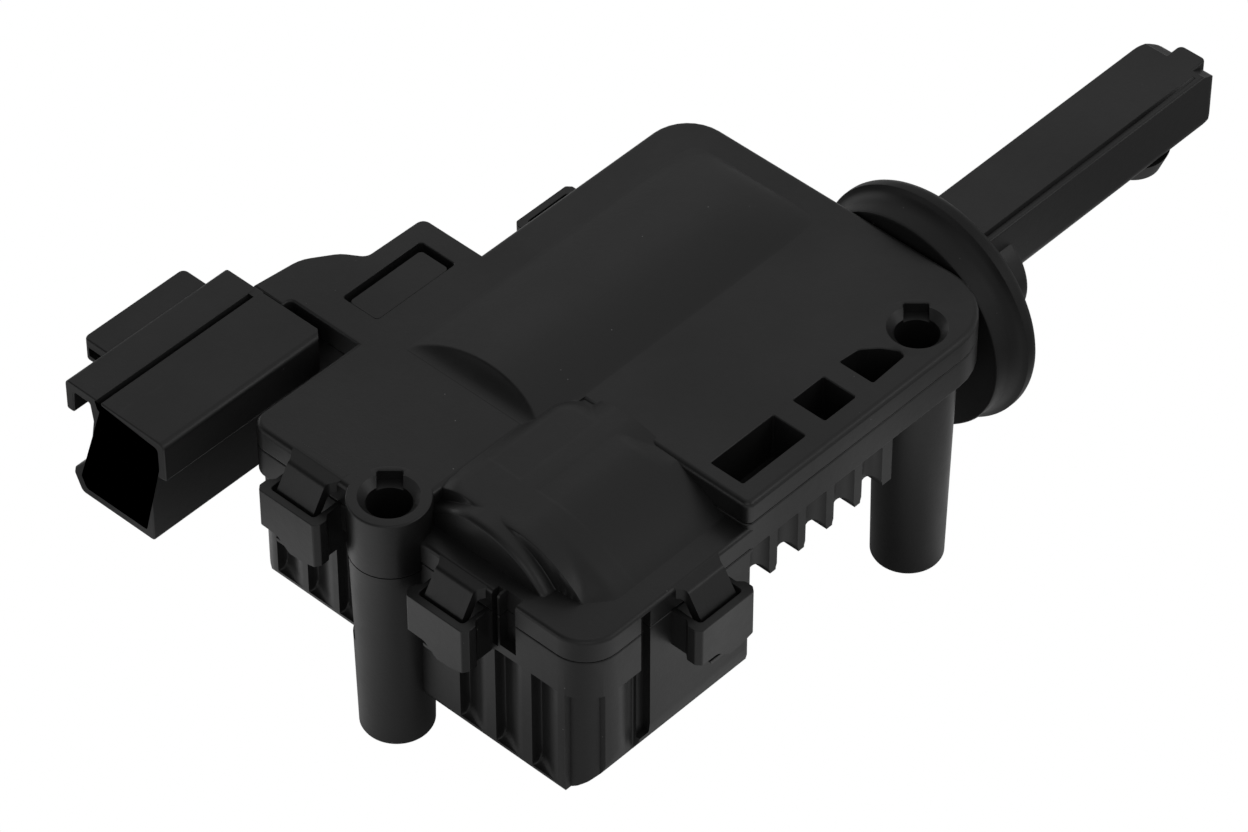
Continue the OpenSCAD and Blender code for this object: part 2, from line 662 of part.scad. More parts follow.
// Blades and strips: the height of each, the place of its blade in the socket and of its brush
blades = [[-8.4, 31.4, 1], [-12.4, 35.4, -0.6]];
blade_w = 2.4;
blade_t = 0.7;
riser_x = arm_x[0] + 3.8;
strip_y = [motor_y + can_r + gap + 0.2, motor_y + can_r + gap + 0.2 + blade_t];
module terminal_path(b, grow) {
    z = [b[0] - blade_w / 2 - grow, b[0] + blade_w / 2 + grow];
    riser = [riser_x + b[2] - blade_t - grow, riser_x + b[2] + grow];
    block([4.9 - socket_x - grow, riser[1]], [b[1] - grow, b[1] + blade_t + grow], z);
    block(riser, [strip_y[0] - grow, b[1] + blade_t + grow], z);
    block([riser[0], bell_x + 2 + grow], [strip_y[0] - grow, strip_y[1] + grow], z);
    block([bell_x + 1.3 - grow, bell_x + 2 + grow], [motor_y + can_r - 2 - grow, strip_y[1] + grow], z);
}

module terminal(b) color(copper) from_top() terminal_path(b, 0);

module terminal_upper() terminal(blades[0]);
module terminal_lower() terminal(blades[1]);

// Path of the gasket in the cover's rim: along the back, round the arm and down both ends
module gasket_plan(d) {
    plan([-deck_end + d, nose_x - d], [-8, back_y - d], [0, 0, far_corner_r - d, 2.6 - d]);
    plan([arm_x[0] + d, arm_x[1] - d], [back_y - 2, arm_y - d], [0, 0, 1.5 - d, 0]);
}

module gasket(grow) translate([0, 0, seam - nip * grow]) linear_extrude(0.5 + grow) difference() {
    gasket_plan(0.6 - grow);
    gasket_plan(1.3 + grow);
    translate([-far / 2, -far / 2]) square([far / 2 + 60, far / 2 + 7]);
    translate([0, -far]) square([far, far - 5]);
}

module seam_gasket() color(rubber) from_top() gasket(0);

// Half profile of the seal: a bell with a thick rounded rim, turned about the pin's axis
module seal_profile() {
    back = nose_x + gap;
    front = back + seal_l;
    difference() {
        union() {
            polygon([[spigot_r + 0.05, back], [seal_back_r - 0.6, back], [seal_back_r, back + 0.6],
                [seal_back_r, back + 2.3], [seal_r, back + 4.3], [seal_r, front - 1.6],
                [seal_r - 1.6, front - 1.6], [seal_r - 1.6, front], [pin_r + gap, front],
                [pin_r + gap, front - seal_t],
                [spigot_r + 0.05, front - seal_t]]);
            translate([seal_r - 1.6, front - 1.6]) circle(1.6);
        }
        translate([spigot_r + seal_t, back + seal_t])
            square([seal_back_r - spigot_r - 2 * seal_t, seal_l - 2 * seal_t]);
    }
}

module rubber_seal() color(rubber) from_top() difference() {
    facing_x(pin_at, 0) rotate_extrude() seal_profile();
    block([nose_x, far], [-pin_y - finger_w / 2 - gap, -pin_y + finger_w / 2 + gap],
        [-pin_depth, finger_rise - pin_depth + gap]);
}

module guide_bush() color(natural) from_top() difference() {
    ring(pin_at, bush_x, pin_r + 0.05, bush_r);
    block([0, far], [-pin_y - finger_w / 2 - gap, -pin_y + finger_w / 2 + gap], [-pin_depth, far]);
}

module can_section(r, h) intersection() {
    circle(r);
    translate([-far / 2, -h / 2]) square([far, h]);
}

module motor_can() color(steel) from_top() difference() {
    union() {
        facing_x(motor_at, can_x) linear_extrude(can_l) can_section(can_r, can_h);
        rod(motor_at, [bulkhead_x[0] + 0.4, can_x + nip], nose_r);
    }
    facing_x(motor_at, can_x + can_t) linear_extrude(can_l) can_section(can_r - can_t, can_h - 2 * can_t);
    rod(motor_at, [bulkhead_x[0], can_x + can_t + nip], nose_r - 1);
}

module motor_end_bell() color(natural) from_top() difference() {
    union() {
        facing_x(motor_at, bell_x) linear_extrude(bell_l) can_section(can_r, can_h);
        rod(motor_at, [bell_x, rear_rib_x[1]], nose_r);
    }
    rod(motor_at, [bell_x - nip, rear_rib_x[1] - 0.6], nose_r - 1);
    for (b = blades) terminal_path(b, seat);
}

module magnet() color(ferrite) from_top() facing_x(motor_at, core_x[0] - 2)
    linear_extrude(core_x[1] - core_x[0] + 4) difference() {
        intersection() {
            circle(can_r - can_t - 0.05);
            polygon([[0, 0], [far, -far * 0.62], [far, far * 0.62]]);
        }
        circle(armature_r + 0.4);
    }

module magnet_left() magnet();
module magnet_right() translate([0, 2 * motor_y, 0]) mirror([0, 1, 0]) magnet();

module motor_front_bush() color(bronze) from_top()
    ring(motor_at, [bulkhead_x[0] + 0.4, can_x + can_t], shaft_r + fit, nose_r - 1 - fit);

module motor_rear_bush() color(bronze) from_top()
    ring(motor_at, [bell_x, rear_rib_x[1] - 0.6 - seat], shaft_r + fit, nose_r - 1 - fit);

module brush(side) color([0.18, 0.17, 0.16]) from_top() difference() {
    x = commutator_x + 0.8;
    block([x, x + 2.8], [motor_y - 1.2, motor_y + 1.2],
        [-motor_depth + (side > 0 ? 0 : -can_h / 2 + can_t + 0.2),
         -motor_depth + (side > 0 ? can_h / 2 - can_t - 0.2 : 0)]);
    rod(motor_at, [x - 1, x + 4], commutator_r + 0.05);
}

module brush_upper() brush(1);
module brush_lower() brush(-1);

module motor_damper_front() color(rubber) from_top()
    ring(motor_at, bulkhead_x, nose_r + fit, damper_r);
module motor_damper_rear() color(rubber) from_top()
    ring(motor_at, rear_rib_x, nose_r + fit, damper_r);

module rotor_shaft() color(steel) from_top()
    rod(motor_at, [wheel_x - 0.4, rear_rib_x[1] - 0.9], shaft_r);

// Three-pole armature: a hub, three webs and three curved shoes
module armature_core() color(steel) from_top() facing_x(motor_at, core_x[0])
    linear_extrude(core_x[1] - core_x[0]) difference() {
        intersection() {
            circle(armature_r);
            union() {
                circle(hub_r);
                for (a = [0:120:240]) rotate(a) {
                    translate([0, -web_w / 2]) square([far, web_w]);
                    difference() {
                        polygon([[0, 0], [far, -far * 1.2], [far, far * 1.2]]);
                        circle(armature_r - shoe_t);
                    }
                }
            }
        }
        circle(shaft_r + seat / 2);
    }

// One coil for each web: a frame round the web, seen along the shaft as a short bar
module armature_windings() color(copper) from_top() for (a = [0:120:240])
    facing_x(motor_at, core_x[0] - coil_t - seat) rotate(a) difference() {
        core_l = core_x[1] - core_x[0] + 2 * seat;
        linear_extrude(core_l + 2 * coil_t) difference() {
            translate([hub_r + 0.15, -web_w / 2 - seat - coil_t])
                square([coil_h, web_w + 2 * (coil_t + seat)]);
            circle(hub_r + seat);
        }
        translate([0, -web_w / 2 - seat, coil_t]) cube([far, web_w + 2 * seat, core_l]);
    }

module commutator() color(copper) from_top()
    ring(motor_at, [commutator_x, commutator_x + commutator_l], shaft_r + seat / 2, commutator_r);

module spur(n, m, face, phase) rotate(phase) linear_extrude(face) polygon(gear_outline(n, m));

module motor_pinion() color(bronze) from_top() difference() {
    facing_x(motor_at, wheel_x - 0.3) spur(pinion_n, fast_module, wheel_face + 0.6, fast_line);
    rod(motor_at, [0, far], shaft_r + seat / 2);
}

module idler_axle() color(steel) from_top() rod(idler_at, axle_x, axle_r);

module reduction_wheel() color(natural) from_top() difference() {
    union() {
        facing_x(idler_at, wheel_x) spur(wheel_n, fast_module, wheel_face, fast_line + 180 + 180 / wheel_n);
        facing_x(idler_at, drive_x - 0.2)
            spur(idler_n, slow_module, wheel_x - drive_x + 0.4, slow_line + 180 + 180 / idler_n);
    }
    rod(idler_at, [0, far], axle_r + fit);
}

module drive_gear() color(natural) from_top() difference() {
    facing_x(pin_at, drive_x) union() {
        difference() {
            spur(drive_n, slow_module, drive_face, slow_line);
            for (z = [-1, drive_face - 1.2]) translate([0, 0, z]) difference() {
                cylinder(r = slow_module * drive_n / 2 - 2.2, h = 2.2);
                cylinder(r = 5.4, h = 2.2);
            }
        }
    }
    rod(pin_at, [0, far], journal_r + seat / 2);
}

// Cross-section of the lead screw: a wave with one crest for each start
module wave(grow, n) polygon([for (i = [0:n - 1])
    let (a = 360 * i / n) (thread_r + grow + thread_a * cos(starts * a)) * [cos(a), sin(a)]]);

module thread(length, grow) linear_extrude(length, twist = -360 * length / lead,
    slices = ceil(length / lead * 20), $fn = 8 * starts) wave(grow, 8 * starts);

thread_x = buffer_x[1] + 0.2;
module lead_screw() color(steel) from_top() {
    facing_x(pin_at, thread_x) thread(screw_end - thread_x, 0);
    rod(pin_at, [drive_x + drive_face, thread_x + nip], front_journal_r);
    rod(pin_at, [rear_bush_x[0] + 0.4, drive_x + drive_face + nip], journal_r);
}

module screw_rear_bush() color(bronze) from_top()
    ring(pin_at, rear_bush_x, journal_r + fit, rear_bush_r);

module screw_front_bush() color(bronze) from_top()
    ring(pin_at, [front_bush_x[0], buffer_x[1] - 0.6], front_journal_r + fit, front_bush_r);

module thrust_washer() color(steel) from_top()
    ring(pin_at, [washer_x, washer_x + washer_t], front_journal_r + fit, front_bush_r - 0.2);

module stop_buffer() color(rubber) from_top()
    ring(pin_at, buffer_x, front_bush_r + fit, buffer_r);

// The nut's thread is the screw's own wave, carried on along the same helix
nut_x = pin_x + 0.4;
module plunger_nut() color(natural) from_top() facing_x(pin_at, nut_x) difference() {
    cylinder(r = nut_r, h = nut_l);
    rotate((nut_x - thread_x) / lead * 360 - nip / lead * 360) translate([0, 0, -nip])
        thread(nut_l + 2 * nip, 0.25);
}

// The finger: a bar with a flat top and a rounded nose, with a tab on the nose and a round foot below
tip_x = pin_x + pin_l;
finger_top = finger_rise - pin_depth;
finger_y = [-pin_y - finger_w / 2, -pin_y + finger_w / 2];
tab_w = 4.4;
tab_l = 3.4;
foot_x = tip_x - 10.5;
module finger() {
    intersection() {
        slab([pin_x, tip_x], finger_y, [finger_top - finger_h, finger_top], [0, 1.9, 4.8, 0]);
        translate([0, finger_y[1], 0]) rotate([90, 0, 0]) linear_extrude(finger_w)
            plan([pin_x, tip_x], [finger_top - finger_h, finger_top], [0, 5, tab_l, 0]);
        facing_x([0, 0], pin_x) linear_extrude(pin_l)
            plan(finger_y, [finger_top - finger_h, finger_top], [2.6, 2.6, 0.3, 0]);
    }
    slab([tip_x - tab_l - 6, tip_x], [finger_y[0] + 2, finger_y[0] + 2 + tab_w],
        [finger_top - finger_h + 4, finger_top], [0, 0.8, 0.8, 0]);
    translate([foot_x, -pin_y, finger_top - finger_h - 2.6]) cylinder(r1 = 3.9, r2 = 5, h = 3);
}

module lock_pin() color(plastic) from_top() difference() {
    union() {
        difference() {
            rod(pin_at, [pin_x, pin_x + tube_l], pin_r);
            block([0, bush_x[0] + stroke], [-far, -pin_y - pin_flat], [-far, 0]);
        }
        finger();
        block([pin_x, pin_x + tube_l], finger_y, [-pin_depth, finger_top]);
    }
    rod(pin_at, [pin_x - nip, nut_x + nut_l + seat], nut_r + fit);
    rod(pin_at, [pin_x, screw_end + stroke + 1], thread_r + thread_a + gap);
    block([pin_x + tube_l - 3, tip_x - 5], [finger_y[0] + 0.6, finger_y[0] + 1.4],
        [finger_top - 0.9, finger_top + 1]);
}

top_cover();
base_housing();
connector_shell();
arm_plug();
seam_gasket();
rubber_seal();
guide_bush();
terminal_upper();
terminal_lower();
motor_can();
motor_end_bell();
magnet_left();
magnet_right();
motor_front_bush();
motor_rear_bush();
brush_upper();
brush_lower();
motor_damper_front();
motor_damper_rear();
rotor_shaft();
armature_core();
armature_windings();
commutator();
motor_pinion();
idler_axle();
reduction_wheel();
drive_gear();
lead_screw();
screw_rear_bush();
screw_front_bush();
thrust_washer();
stop_buffer();
lock_pin();
plunger_nut();
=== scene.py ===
# %% [markdown]
# # Tailgate lock
# This lesson dresses the CAD model of a small car part: a motor in a moulded black housing
# draws a locking pin in and out. The CAD model stays underneath as a fixed frame. Every
# visible piece is made again with soft moulded edges and a finish from shader nodes.

# %% Load the frame
import json
import math

import bmesh
import bpy
import numpy as np
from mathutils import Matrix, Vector


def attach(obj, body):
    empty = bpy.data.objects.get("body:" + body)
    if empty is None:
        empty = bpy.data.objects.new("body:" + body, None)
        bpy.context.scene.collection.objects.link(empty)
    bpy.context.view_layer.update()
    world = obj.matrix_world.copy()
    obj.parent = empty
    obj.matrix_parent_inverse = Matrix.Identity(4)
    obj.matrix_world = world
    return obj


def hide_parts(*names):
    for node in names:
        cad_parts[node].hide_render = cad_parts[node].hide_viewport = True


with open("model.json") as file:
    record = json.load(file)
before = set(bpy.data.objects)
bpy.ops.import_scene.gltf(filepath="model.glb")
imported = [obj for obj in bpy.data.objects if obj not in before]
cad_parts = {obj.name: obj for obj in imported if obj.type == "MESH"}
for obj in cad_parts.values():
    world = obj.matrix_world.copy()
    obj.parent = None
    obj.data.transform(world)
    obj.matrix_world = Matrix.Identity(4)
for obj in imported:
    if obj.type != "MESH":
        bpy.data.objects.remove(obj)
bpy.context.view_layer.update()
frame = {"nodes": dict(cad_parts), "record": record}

# %% [markdown]
# ## One place for the measures
# The part was measured from its top face down, in millimetres. The frame counts from the
# feet of the screw pillars, in metres. One function turns the first into the second,
# so that every number below can be checked against a ruler.

# %% Measures
MM = 0.001
TOP = 38.5  # height of the top face over the pillar feet
SEAM = -3.4  # underside of the lid
LOW_DECK = -4.2  # the lower deck at the front corner
LOW_SEAM = LOW_DECK - 3.4
SEAM_GAP = 0.1  # the dark slit between lid and base
BAND = -7.8  # underside of the base's flange band
LOW_BAND = LOW_SEAM - 6.2
PIN_Y, PIN_Z = PIN_AT = (-15.4, -13.6)  # axis of the locking pin
MOTOR_Y, MOTOR_Z = MOTOR_AT = (5.5, -9.5)  # axis of the motor
STEP_X = 27.7  # where the lower deck meets the shelf
NOSE_X = 75.6  # end face that carries the seal
FRONT, REAR = (0.0, 0.0), (64.85, -26.84)  # the two screw pillars


def metres(p):
    """A point in millimetres under the top face, as metres in the row frame."""
    return (p[0] * MM, p[1] * MM, (p[2] + TOP) * MM)


print("the top face in metres:", metres((0, 0, 0)))

# %% [markdown]
# ## Outlines
# The walls of a moulding are flat outlines with rounded corners. They could be drawn by
# hand as curves. Here `rounded` turns corner points and radii into an outline, so that each
# radius stays a number. `inset` moves an outline inwards, as a rounded top edge needs.

# %% Outline helpers
def rounded(*corners, step=12):
    """An outline through (x, y) corners, or (x, y, r) where an arc rounds the corner."""
    out = []
    for i, corner in enumerate(corners):
        p = np.array(corner[:2], float)
        a = np.array(corners[i - 1][:2], float) - p
        b = np.array(corners[(i + 1) % len(corners)][:2], float) - p
        a /= np.linalg.norm(a)
        b /= np.linalg.norm(b)
        r = corner[2] if len(corner) > 2 else 0
        if r <= 0:
            out.append(tuple(p))
            continue
        half = math.acos(float(np.clip(a @ b, -1, 1))) / 2
        centre = p + (a + b) / np.linalg.norm(a + b) * r / math.sin(half)
        start = p + a * r / math.tan(half) - centre
        end = p + b * r / math.tan(half) - centre
        first = math.atan2(start[1], start[0])
        sweep = (math.atan2(end[1], end[0]) - first + math.pi) % math.tau - math.pi
        count = max(2, math.ceil(abs(sweep) / math.radians(step)))
        for k in range(count + 1):
            turn = first + sweep * k / count
            out.append(tuple(centre + r * np.array((math.cos(turn), math.sin(turn)))))
    return out


def rectangle(x0, x1, y0, y1, r=0):
    """A rectangle, with one radius or with four, anticlockwise from the low corner."""
    r0, r1, r2, r3 = r if hasattr(r, "__len__") else [r] * 4
    return rounded((x0, y0, r0), (x1, y0, r1), (x1, y1, r2), (x0, y1, r3))


def inset(outline, distance):
    """The outline moved inwards, or outwards where the distance is negative."""
    p = np.array(outline, float)
    edge = np.roll(p, -1, 0) - p
    edge /= np.linalg.norm(edge, axis=1)[:, None]
    normal = np.stack([edge[:, 1], -edge[:, 0]], 1)
    before = np.roll(normal, 1, 0)
    miter = (normal + before) / (1 + (normal * before).sum(1))[:, None]
    area = (p[:, 0] * np.roll(p[:, 1], -1) - np.roll(p[:, 0], -1) * p[:, 1]).sum()
    return p - miter * distance * (1 if area > 0 else -1)


print("points of a 20 x 10 mm rectangle with 3 mm corners:", len(rectangle(0, 20, 0, 10, 3)))

# %% [markdown]
# ## Solids
# Three kinds of solid make the housing. A prism is an outline pulled along one axis, with
# its end edges rounded over. A turned solid is a profile spun round an axis. A relief is a
# grid of heights, for soft humps. Bevel modifiers could round the edges too, but they fail
# where Booleans leave long thin faces, so each solid has its roundings from the start.

# %% Solid helpers
AXES = {"z": lambda u, v, w: (u, v, w), "x": lambda u, v, w: (w, u, v),
        "y": lambda u, v, w: (u, w, v)}
FLARE_REACH = 1.5  # how far a cutter with a flared mouth goes past the face


def add_object(name, data):
    obj = bpy.data.objects.new(name, data)
    bpy.context.scene.collection.objects.link(obj)
    return obj


def solid(name, verts, faces):
    mesh = bpy.data.meshes.new(name)
    mesh.from_pydata([metres(v) for v in verts], [], faces)
    bm = bmesh.new()
    bm.from_mesh(mesh)
    bmesh.ops.remove_doubles(bm, verts=bm.verts, dist=1e-7)
    bmesh.ops.recalc_face_normals(bm, faces=bm.faces)
    bm.to_mesh(mesh)
    bm.free()
    return add_object(name, mesh)


def loft(rings):
    """A closed skin over rings of the same number of points."""
    n = len(rings[0])
    faces = [(r * n + i, r * n + (i + 1) % n, (r + 1) * n + (i + 1) % n, (r + 1) * n + i)
             for r in range(len(rings) - 1) for i in range(n)]
    faces += [tuple(range(n)), tuple(range((len(rings) - 1) * n, len(rings) * n))]
    return solid("loft", [tuple(v) for ring in rings for v in ring], faces)


def prism(outline, low, high, top=0.0, bottom=0.0, axis="z", steps=4):
    """An outline pulled from low to high. A positive edge radius rounds the end over, and a
    negative one flares it, which rounds the mouth of a pocket that this prism cuts."""
    rings = []
    for k in range(steps + 1 if bottom else 1):
        a = math.pi / 2 * k / steps
        rings.append((bottom * (1 - math.sin(a)), low + abs(bottom) * (1 - math.cos(a))))
    for k in range(steps, -1, -1) if top else [0]:
        a = math.pi / 2 * k / steps
        rings.append((top * (1 - math.sin(a)), high - abs(top) * (1 - math.cos(a))))
    if bottom < 0:
        rings.insert(0, (bottom, low - FLARE_REACH))
    if top < 0:
        rings.append((top, high + FLARE_REACH))
    return loft([[AXES[axis](u, v, w) for u, v in (inset(outline, d) if d else outline)]
                 for d, w in rings])


def turned(profile, at, axis="x", steps=64):
    """A closed profile of (along, radius) points spun round an axis through `at`."""
    verts, faces, n = [], [], len(profile)
    for k in range(steps):
        c, s = math.cos(math.tau * k / steps), math.sin(math.tau * k / steps)
        for along, r in profile:
            verts.append((along, at[0] + r * c, at[1] + r * s) if axis == "x"
                         else (at[0] + r * c, at[1] + r * s, along))
    for k in range(steps):
        j = (k + 1) % steps
        faces += [(k * n + i, k * n + (i + 1) % n, j * n + (i + 1) % n, j * n + i)
                  for i in range(n)]
    return solid("turned", verts, faces)


def rod(at, x0, x1, r, edge=0.0, axis="x", steps=64):
    """A round bar with rounded ends."""
    quarter = [math.pi / 6 * k for k in range(4)] if edge else []
    arc = [(edge * (1 - math.cos(a)), edge * (1 - math.sin(a))) for a in quarter] or [(0, 0)]
    near = [(x0 + a, r - b) for a, b in arc]
    far = [(x1 - a, r - b) for a, b in reversed(arc)]
    return turned([(x0, 0)] + near + far + [(x1, 0)], at, axis, steps)


def block(x, y, z, top=0.0):
    """A box between two limits on each axis."""
    return prism(rectangle(x[0], x[1], y[0], y[1]), z[0], z[1], top=top)


# %% [markdown]
# ## Joining and cutting
# A mould is cut from steel by many tools that pass through each other. Boolean modifiers do
# the same with solids. The fast "manifold" solver wants closed meshes, as all helpers above
# return, and it keeps the result closed.

# %% Joining and cutting
def made_plain(obj, name):
    """A new object with the mesh that the modifiers of another one give."""
    depsgraph = bpy.context.evaluated_depsgraph_get()
    mesh = bpy.data.meshes.new_from_object(obj.evaluated_get(depsgraph))
    mesh.name = name
    return add_object(name, mesh)


def fuse(name, adds, cuts=(), limits=()):
    """Joins the solids, keeps what lies in every limit, cuts the rest away."""
    base = adds[0]
    extra = [(o, "UNION") for o in adds[1:]]
    extra += [(o, "INTERSECT") for o in limits] + [(o, "DIFFERENCE") for o in cuts]
    for other, how in extra:
        mod = base.modifiers.new(how, "BOOLEAN")
        mod.object, mod.operation, mod.solver = other, how, "MANIFOLD"
    out = made_plain(base, name)
    for other in list(adds) + list(cuts) + list(limits):
        bpy.data.objects.remove(other)
    return out


def tray(x, y, z, r=0.0, low=(4, 4), end=1.0):
    """A tray: rounded in plan by r, along its long bottom edges by low, at its ends by end."""
    plan = prism(rectangle(*x, *y, r), *z)
    across = prism(rectangle(*y, *z, [low[0], low[1], 0, 0]), x[0] - 1, x[1] + 1, axis="x")
    along = prism(rectangle(*x, *z, [end, end, 0, 0]), y[0] - 1, y[1] + 1, axis="y")
    return fuse("tray", [plan], limits=[across, along])


SHARP_FROM = math.radians(34)  # edges that turn more than this stay sharp


def smooth(obj):
    """Merges what touches, shades curves smooth and keeps flat faces flat."""
    bm = bmesh.new()
    bm.from_mesh(obj.data)
    bmesh.ops.remove_doubles(bm, verts=bm.verts, dist=2e-7)
    bmesh.ops.dissolve_degenerate(bm, edges=bm.edges, dist=1e-6)
    for face in bm.faces:
        face.smooth = True
    for edge in bm.edges:
        edge.smooth = len(edge.link_faces) == 2 and edge.calc_face_angle(0) < SHARP_FROM
    bm.to_mesh(obj.data)
    bm.free()
    mod = obj.modifiers.new("Even normals", "WEIGHTED_NORMAL")
    mod.keep_sharp, mod.weight = True, 60


# %% [markdown]
# ## Finishes
# Shader maths reads best as plain sums. A small class wraps a node socket and overloads the
# operators, so that `speck * 0.4 + grain` adds its own Math nodes. All patterns use Object
# coordinates in metres, so a scale of 3000 is a grain of about a third of a millimetre.

# %% Shader maths as expressions
class Socket:
    def __init__(self, finish, socket):
        self.finish, self.socket = finish, socket

    def other(self, name):
        """Another output of the same node."""
        return Socket(self.finish, self.socket.node.outputs[name])

    def __add__(self, value): return self.finish.maths("ADD", self, value)
    def __sub__(self, value): return self.finish.maths("SUBTRACT", self, value)
    def __mul__(self, value): return self.finish.maths("MULTIPLY", self, value)


class Finish:
    """A material under construction. `node` adds any node and returns one of its outputs."""

    def __init__(self, name):
        self.material = bpy.data.materials.new(name)
        self.material.use_nodes = True
        self.tree = self.material.node_tree
        self.place = self.node("ShaderNodeTexCoord", output="Object")

    def set(self, socket, value):
        if isinstance(value, Socket):
            self.tree.links.new(value.socket, socket)
        else:
            socket.default_value = value

    def node(self, kind, settings=None, inputs=None, output=0):
        made = self.tree.nodes.new(kind)
        for key, value in (settings or {}).items():
            if key == "stops":
                ramp = made.color_ramp
                while len(ramp.elements) < len(value):
                    ramp.elements.new(0.5)
                for element, (at, colour) in zip(ramp.elements, value):
                    element.position, element.color = at, colour
            else:
                setattr(made, key, value)
        for key, value in (inputs or {}).items():
            self.set(made.inputs[key], value)
        return Socket(self, made.outputs[output])

    def maths(self, operation, *values):
        return self.node("ShaderNodeMath", {"operation": operation}, dict(enumerate(values)))

    def vector_maths(self, operation, vector):
        return self.node("ShaderNodeVectorMath", {"operation": operation},
                         {0: self.place, 1: vector}, "Value")

    def noise(self, scale, detail=2.0, roughness=0.5, place=None):
        return self.node("ShaderNodeTexNoise", {}, {
            "Vector": place or self.place, "Scale": scale, "Detail": detail,
            "Roughness": roughness})

    def spots(self, scale):
        return self.node("ShaderNodeTexVoronoi", {}, {"Vector": self.place, "Scale": scale},
                         "Distance")

    def ramp(self, value, low, high, first=0.0, last=1.0):
        return self.node("ShaderNodeMapRange", {"interpolation_type": "SMOOTHSTEP"}, {
            "Value": value, "From Min": low, "From Max": high, "To Min": first, "To Max": last})

    def mix(self, factor, a, b):
        return self.node("ShaderNodeMix", {"data_type": "RGBA"}, {"Factor": factor, 6: a, 7: b}, 2)

    def stretched(self, scale, turn=(0, 0, 0)):
        return self.node("ShaderNodeMapping", {}, {
            "Vector": self.place, "Scale": scale, "Rotation": turn})

    def bump(self, height, strength, distance, under=None):
        inputs = {"Height": height, "Strength": strength, "Distance": distance}
        if under:
            inputs["Normal"] = under
        return self.node("ShaderNodeBump", {}, inputs)

    def principled(self, sockets):
        """Sets or links the named inputs of the Principled shader."""
        for name, value in sockets.items():
            self.set(self.tree.nodes["Principled BSDF"].inputs[name], value)
        return self.material

    def surface(self, shader):
        """Puts another shader in the place of the Principled one."""
        self.set(self.tree.nodes["Material Output"].inputs["Surface"], shader)
        return self.material


def grey(v):
    return (v, v, v, 1.0)


def darker(colour, share):
    return tuple(c * share for c in colour[:3]) + (1,)


# %% [markdown]
# ## Black moulded plastic
# The housing is glass-filled nylon: almost black, satin, with a fine grain from the tool. A
# flat black would look like a hole in the picture. Slow changes in roughness keep large
# faces alive, thin scuffs catch the light, and a few pale dust specks sit on it.

# %% Black plastic
def black_plastic(name, tone, rough):
    f = Finish(name)
    cloud = f.noise(45, 3)
    grain = f.noise(2600, 2, 0.6)
    pores = f.noise(900, 2, 0.55)
    scuffs = f.ramp(f.noise(60, 6, 0.62, f.stretched((1, 9, 1), (0, 0, 0.7))), 0.69, 0.76)
    dust = f.ramp(f.spots(420), 0.045, 0.02) * f.ramp(f.noise(70, 1), 0.55, 0.62)
    base = f.mix(cloud, grey(tone * 0.8), grey(tone * 1.35))
    base = f.mix(scuffs * 0.25, base, grey(tone * 3.2))
    base = f.mix(dust * 0.55, base, grey(0.30))
    satin = f.ramp(cloud, 0.3, 0.7, rough - 0.05, rough + 0.05) + pores * 0.06 - 0.03
    bump = f.bump(pores, 0.10, 0.00012, f.bump(grain, 0.16, 0.00006))
    return f.principled({
        "Base Color": base, "Roughness": satin + dust * 0.3, "Normal": bump,
        "Specular IOR Level": 0.42})


black = black_plastic("black moulded plastic", tone=0.0085, rough=0.42)
print("nodes in the black plastic:", len(black.node_tree.nodes))

# %% [markdown]
# ## Rubber, metals and the rest
# The seal is a softer black than the housing, with no gloss at its edges. The pieces inside
# are seen only in an opened lock, so one function for each family is enough: rubber, plain
# plastic and metal. Brushed metal is the same noise, stretched along one axis.

# %% The other finishes
def rubber(name, tone, rough):
    f = Finish(name)
    cloud = f.noise(60, 4)
    fine = f.noise(1500, 3, 0.65)
    dust = f.ramp(f.spots(500), 0.05, 0.02) * f.ramp(f.noise(90, 1), 0.5, 0.6)
    base = f.mix(cloud, grey(tone * 0.75), grey(tone * 1.4))
    return f.principled({
        "Base Color": f.mix(dust * 0.4, base, grey(0.22)),
        "Roughness": f.ramp(cloud, 0.3, 0.7, rough - 0.06, rough + 0.06),
        "Normal": f.bump(fine, 0.14, 0.00008), "Specular IOR Level": 0.3})


def plain_plastic(name, colour, rough=0.4):
    f = Finish(name)
    cloud = f.noise(80, 2)
    return f.principled({
        "Base Color": f.mix(cloud, darker(colour, 0.88), colour),
        "Roughness": f.ramp(cloud, 0.3, 0.7, rough - 0.05, rough + 0.05),
        "Normal": f.bump(f.noise(1800, 2), 0.08, 0.00005)})


def metal(name, colour, rough=0.3, brushed=(1, 1, 1)):
    f = Finish(name)
    lines = f.noise(500, 4, 0.6, f.stretched(brushed))
    stain = f.noise(70, 3)
    return f.principled({
        "Base Color": f.mix(stain, darker(colour, 0.8), colour),
        "Roughness": f.ramp(lines, 0.3, 0.7, rough - 0.07, rough + 0.08),
        "Normal": f.bump(lines, 0.06, 0.00004), "Metallic": 1.0})


finishes = {
    "housing_plastic": black,
    "seal_rubber": rubber("black seal rubber", 0.006, 0.5),
    "soft_rubber": rubber("soft rubber", 0.03, 0.6),
    "natural_plastic": plain_plastic("natural acetal", (0.78, 0.76, 0.69, 1)),
    "terminal_metal": metal("tinned brass", (0.72, 0.6, 0.4, 1), 0.28, (1, 6, 6)),
    "motor_steel": metal("drawn steel", (0.56, 0.57, 0.58, 1), 0.32, (1, 8, 8)),
    "magnet_ferrite": metal("ground ferrite", (0.08, 0.08, 0.085, 1), 0.5),
    "bush_bronze": metal("sintered bronze", (0.5, 0.34, 0.18, 1), 0.42),
    "brush_carbon": plain_plastic("pressed carbon", (0.03, 0.03, 0.03, 1), 0.5),
    "winding_copper": metal("enamelled copper", (0.62, 0.27, 0.12, 1), 0.22, (1, 12, 12)),
}
slots = {entry["node"]: entry["material_slot"] for entry in frame["record"]["subparts"]}
